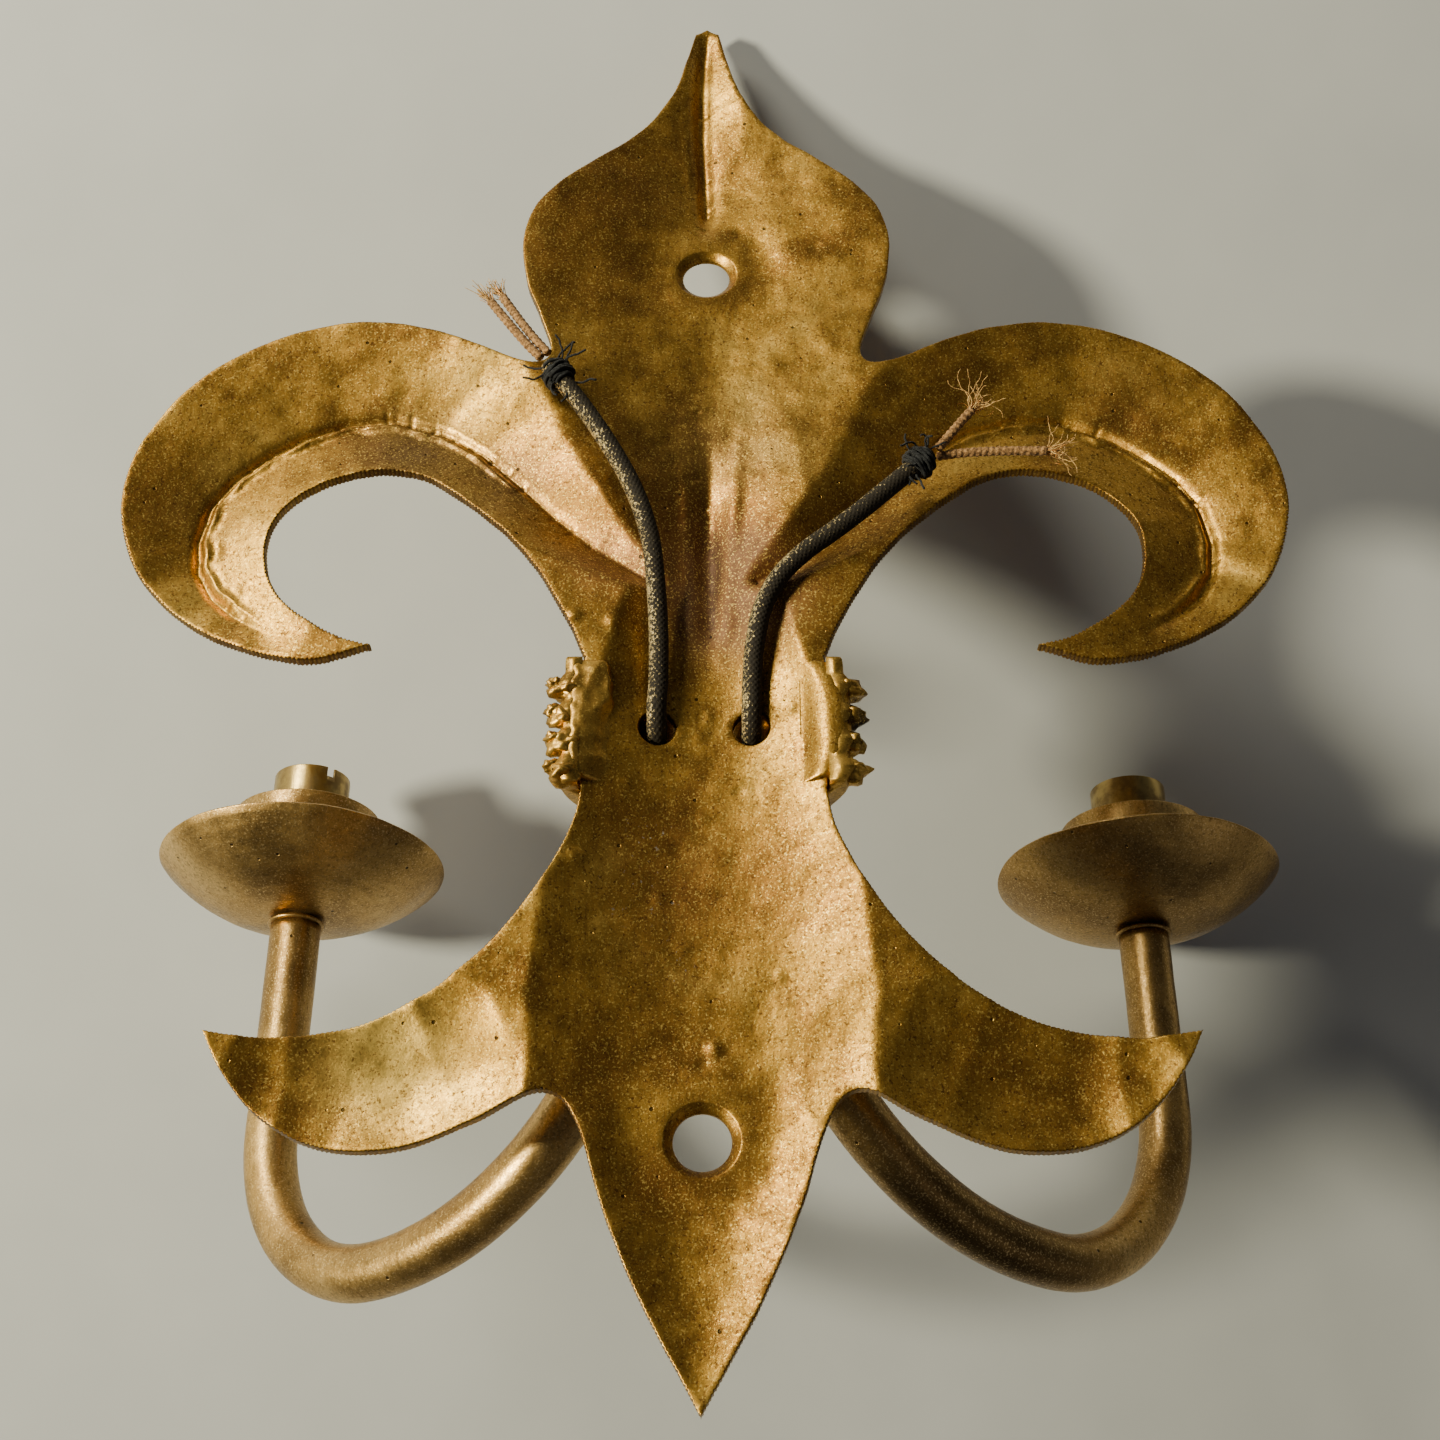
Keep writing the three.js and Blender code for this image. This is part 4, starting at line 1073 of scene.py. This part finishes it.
def saw_slot(holder, turn, seat):
    """Saws a slot into the lamp holder's rim, at an angle round it."""
    mesh = bpy.data.meshes.new("slot_cutter")
    work = bmesh.new()
    bmesh.ops.create_cube(work, size=1)
    work.to_mesh(mesh)
    work.free()
    cutter = linked("slot_cutter", mesh)
    cutter.scale = (8 * MM, 2.6 * MM, 6.8 * MM)
    cutter.rotation_euler = (0, 0, turn)
    rim = Vector((math.cos(turn) * HOLDER_RADIUS, math.sin(turn) * HOLDER_RADIUS, HOLDER_TOP))
    cutter.location = seat + rim * MM
    bpy.context.view_layer.update()
    cut = holder.modifiers.new("slot", "BOOLEAN")
    cut.operation = "DIFFERENCE"
    cut.object = cutter
    cut.solver = "EXACT"
    evaluated = holder.evaluated_get(bpy.context.evaluated_depsgraph_get())
    sawn = bpy.data.meshes.new_from_object(evaluated)
    holder.modifiers.clear()
    holder.data = sawn
    bpy.data.objects.remove(cutter)


# ---------------- cables

FLEX_RADIUS, CORE_RADIUS = 2.75, 1.35
FIBRE_STEPS = 12
TAIL_ROUTES = {
    "left": [
        (-13.2, 10.4, -0.3), (-13.2, 6.3, 1.7), (-13.2, 2.9, 6.7), (-13.4, 2.2, 15), (-14.2, 1.2, 25),
        (-16.6, -0.8, 36.5), (-21.6, -2.4, 46), (-28.8, -3.6, 53.6), (-36.8, -4.2, 60), (-45, -4.6, 67),
        (-53.6, -5, 75), (-62, -5.2, 83), (-66, -5.2, 87),
    ],
    "right": [
        (13.2, 10.4, -0.3), (13.2, 6.3, 1.7), (13.2, 2.9, 6.7), (12.8, 2.2, 15), (13, 1.2, 30),
        (14, -0.8, 45), (15.2, -2, 56), (17.2, -2.6, 65), (20.2, -2.6, 74.5), (24.6, -3.1, 84.5),
        (30.2, -3.5, 95), (36.4, -3.6, 105.5), (43.4, -3.7, 116), (47.6, -3.7, 122),
    ],
}
CORE_ROUTES = {
    "left": [
        [(-68.6, -6.8, 88), (-72, -7, 92.4), (-75.5, -7.2, 97), (-79, -7.2, 101.5)],
        [(-68.6, -4, 87.2), (-77, -3.8, 88.6), (-88, -3.6, 89.4), (-101, -3.4, 89.6)],
    ],
    "right": [
        [(50.2, -3.8, 124.6), (55, -3.8, 130.4), (60, -4, 137.2), (66.5, -4.2, 146.4)],
        [(48, -3.8, 126.4), (52.6, -3.8, 132.4), (57.4, -4, 139.4), (63, -4.2, 148.4)],
    ],
}


def placed(route, step):
    """A smooth path in the frame through points given from the waist."""
    return [at(*p) for p in spline(route, step)]


def braid(radius, strands_round, pitch_mm, relief_mm):
    """Radius of a braided surface: two sets of strands wound opposite ways that pass over each other."""
    def height(i, angle, along):
        lay = 2 * math.pi * along / MM / pitch_mm
        one = abs(math.sin(strands_round * angle / 2 + lay))
        other = abs(math.sin(strands_round * angle / 2 - lay))
        return (radius + relief_mm * (max(one, other) - 0.8)) * MM
    return height


def any_way(rng):
    return Vector([rng.uniform(-1, 1) for _ in range(3)])


def wandering(start, direction, length_mm, curl, rng):
    """A loose fibre that curls away from a start point."""
    path, heading = [Vector(start)], Vector(direction).normalized()
    for _ in range(FIBRE_STEPS):
        turn = any_way(rng) * curl
        turn.y = turn.y * 0.5 if path[-1].y > start[1] - 0.002 else 0.3
        heading = (heading + turn).normalized()
        path.append(path[-1] + heading * length_mm * MM / FIBRE_STEPS)
    return path


def fibres(name, start, direction, count, length_mm, radius_mm, curl, spread, material, seed):
    """A tuft of thin fibres that fan out from a point."""
    rng = random.Random(seed)
    parts = []
    for _ in range(count):
        aim = Vector(direction).normalized() + any_way(rng) * spread
        root = Vector(start) + any_way(rng) * 0.8 * MM
        size = rng.uniform(0.55, 1.1)
        path = wandering(root, aim, length_mm * size, curl, rng)
        parts.append(rod(path, lambda i, angle, along: radius_mm * MM * (1 - 0.5 * i / len(path)), 5))
    return new_object(name, *joined(parts), material)


def make_tie(name, centre, direction, seed):
    """Waxed thread wound round the jacket's end, crossed over itself and knotted, with loose ends."""
    rng = random.Random(seed)
    axis = Vector(direction).normalized()
    side = axis.orthogonal().normalized()
    other = axis.cross(side)
    parts = []

    def twisted(i, angle, along):
        return (0.5 + 0.08 * math.sin(4 * angle + along * 9000)) * MM

    for start, end, turns, lift in ((-3.4, 3.2, 6, 0.0), (3.0, -2.6, 4, 0.75), (-1.5, 1.5, 2.5, 1.3)):
        path = []
        for k in range(int(turns * 26)):
            share = k / (turns * 26)
            angle = 2 * math.pi * turns * share + rng.uniform(-0.03, 0.03)
            r = (3.3 + lift + 0.22 * math.sin(5 * angle + lift * 7)) * MM
            along = (start + (end - start) * share + 0.5 * math.sin(angle * 1.3 + lift)) * MM
            path.append(centre + axis * along + (side * math.cos(angle) + other * math.sin(angle)) * r)
        parts.append(rod(path, twisted, 8))
    for _ in range(9):
        out = Vector((rng.uniform(-1, 1), rng.uniform(0.1, 0.7), rng.uniform(-1, 1)))
        root = centre + out.normalized() * 3.4 * MM + axis * rng.uniform(-3, 3) * MM
        path = wandering(root, out, rng.uniform(5, 10), 0.42, rng)
        parts.append(rod(path, lambda i, angle, along: 0.33 * MM, 6))
    return stands_for(new_object(f"tie_{name}", *joined(parts), thread), f"cable_tie_{name}")


# How each cable's ends fray: fibres, their length, curl and spread, then the bare wires' length and curl.
FRAYS = {"left": (20, 13, 0.5, 0.55, 9, 0.4), "right": (26, 8, 0.12, 0.42, 6, 0.10)}


def make_core(name, number, route):
    """Insulated core with a spiral textile wrap, ending in frayed fibres and bare strands."""
    path = placed(route, 0.35)

    def wrap(i, angle, along):
        return (CORE_RADIUS + 0.13 * math.sin(angle + 2 * math.pi * along / MM / 1.9)) * MM

    core = new_object(f"core_{name}_{number}", *rod(path, wrap, 20), core_textile)
    stands_for(core, f"cable_core_{name}_{number}")
    end, direction = path[-1], path[-1] - path[-6]
    seed = number + (10 if name == "left" else 20)
    count, length, curl, spread, wire_length, wire_curl = FRAYS[name]
    tuft = fibres(f"fray_{name}_{number}", end, direction, count, length, 0.17, curl, spread, straw, seed)
    wires = fibres(f"strands_{name}_{number}", end, direction, 14, wire_length, 0.13, wire_curl, 0.4, strands,
                   seed + 50)
    return [core, tuft, wires]


def make_cable(name):
    path = placed(TAIL_ROUTES[name], 0.25)
    tail = new_object(f"tail_{name}", *rod(path, braid(FLEX_RADIUS, 12, 3.6, 0.34), 64), jacket)
    stands_for(tail, f"cable_tail_{name}")
    near_end = int(len(path) * 0.96)
    heading = path[near_end] - path[near_end - 8]
    pieces = [make_tie(name, path[near_end], heading, 5 if name == "left" else 7)]
    for number, route in enumerate(CORE_ROUTES[name], 1):
        pieces += make_core(name, number, route)


# ---------------- floor, lights and camera

CAMERA_TILT = math.radians(29.5)
BACK = Vector((0, math.cos(CAMERA_TILT), -math.sin(CAMERA_TILT)))
UP = Vector((0, math.sin(CAMERA_TILT), math.cos(CAMERA_TILT)))
ACROSS = Vector((1, 0, 0))
MIDDLE = at(0, 7, 0)
FLOOR_NORMAL = Vector((0, 0.852, -0.5236))
FLOOR_UP = Vector((0, 0.5236, 0.852))
FLOOR_LEVEL, FLOOR_HALF = -0.0665, 1.6
CAMERA_DISTANCE, CAMERA_LENS, SENSOR_WIDTH = 0.536, 48.75, 36
WORLD_GREY, WORLD_STRENGTH = (0.80, 0.80, 0.80, 1), 0.07


def make_floor():
    """The pale floor that the sconce lies on, face down, on its leaf tip and drip pans. It is clear from
    below, so that the front of the sconce can be seen and lit."""
    centre = MIDDLE + FLOOR_NORMAL * (FLOOR_LEVEL - FLOOR_NORMAL.dot(MIDDLE))
    corners = [centre + ACROSS * a * FLOOR_HALF + FLOOR_UP * b * FLOOR_HALF
               for a, b in ((-1, -1), (1, -1), (1, 1), (-1, 1))]
    mesh = bpy.data.meshes.new("floor")
    mesh.from_pydata(corners, [], [(0, 1, 2, 3)])
    floor = linked("floor", mesh)
    if mesh.polygons[0].normal.dot(FLOOR_NORMAL) < 0:
        mesh.flip_normals()
    n = Nodes("pale_floor")
    shade = n.mix(n.noise(60, detail=3), (0.42, 0.43, 0.45), (0.50, 0.51, 0.53))
    behind = n.node("ShaderNodeNewGeometry", "Backfacing")
    clear = n.node("ShaderNodeBsdfTransparent", 0)
    pale = n.shader(Base_Color=shade, Roughness=0.8)
    mesh.materials.append(n.output(n.node("ShaderNodeMixShader", 0, {0: behind, 1: pale, 2: clear})))


def aimed(obj, target, location):
    """Moves a light or camera to a place and turns it to a target."""
    obj.location = location
    obj.rotation_euler = (target - obj.location).to_track_quat("-Z", "Y").to_euler()


def area_light(name, direction, distance, size, power, colour):
    """A soft light that looks at the waist from a direction."""
    data = bpy.data.lights.new(name, "AREA")
    data.shape = "DISK"
    data.size = size
    data.energy = power
    data.color = colour
    aimed(linked(name, data), MIDDLE, MIDDLE + direction.normalized() * distance)


def make_lights():
    area_light("key", BACK * 0.60 + ACROSS * 0.80 + UP * 0.08, 1.9, 0.30, 62, (1.0, 0.94, 0.66))
    area_light("window", BACK * 0.345 + ACROSS * 0.56 + UP * 0.75, 1.7, 0.6, 25, (1.0, 0.94, 0.72))
    area_light("fill", BACK * 0.7 - ACROSS * 1.0 - UP * 0.5, 1.8, 1.2, 1.0, (1.0, 0.96, 0.9))
    area_light("front", Vector((0.5, -1.0, 0.6)), 1.8, 1.2, 30, (1.0, 0.98, 0.95))
    world = bpy.data.worlds.new("studio")
    world.use_nodes = True
    background = world.node_tree.nodes["Background"]
    background.inputs["Color"].default_value = WORLD_GREY
    background.inputs["Strength"].default_value = WORLD_STRENGTH
    bpy.context.scene.world = world


def make_camera():
    data = bpy.data.cameras.new("camera")
    data.lens = CAMERA_LENS
    data.sensor_width = SENSOR_WIDTH
    camera = linked("camera", data)
    target = at(-4.4, 0, 0)
    aimed(camera, target, target + BACK * CAMERA_DISTANCE)
    bpy.context.scene.camera = camera


make_camera()
for side_name in SIDES:
    make_cable(side_name)
make_plate()
make_collar()
for side_name, side_sign in SIDES.items():
    make_braze(side_name, side_sign)
    make_arm_weld(side_name, side_sign)
    make_lamp(side_name, make_arm(side_name))
make_floor()
make_lights()
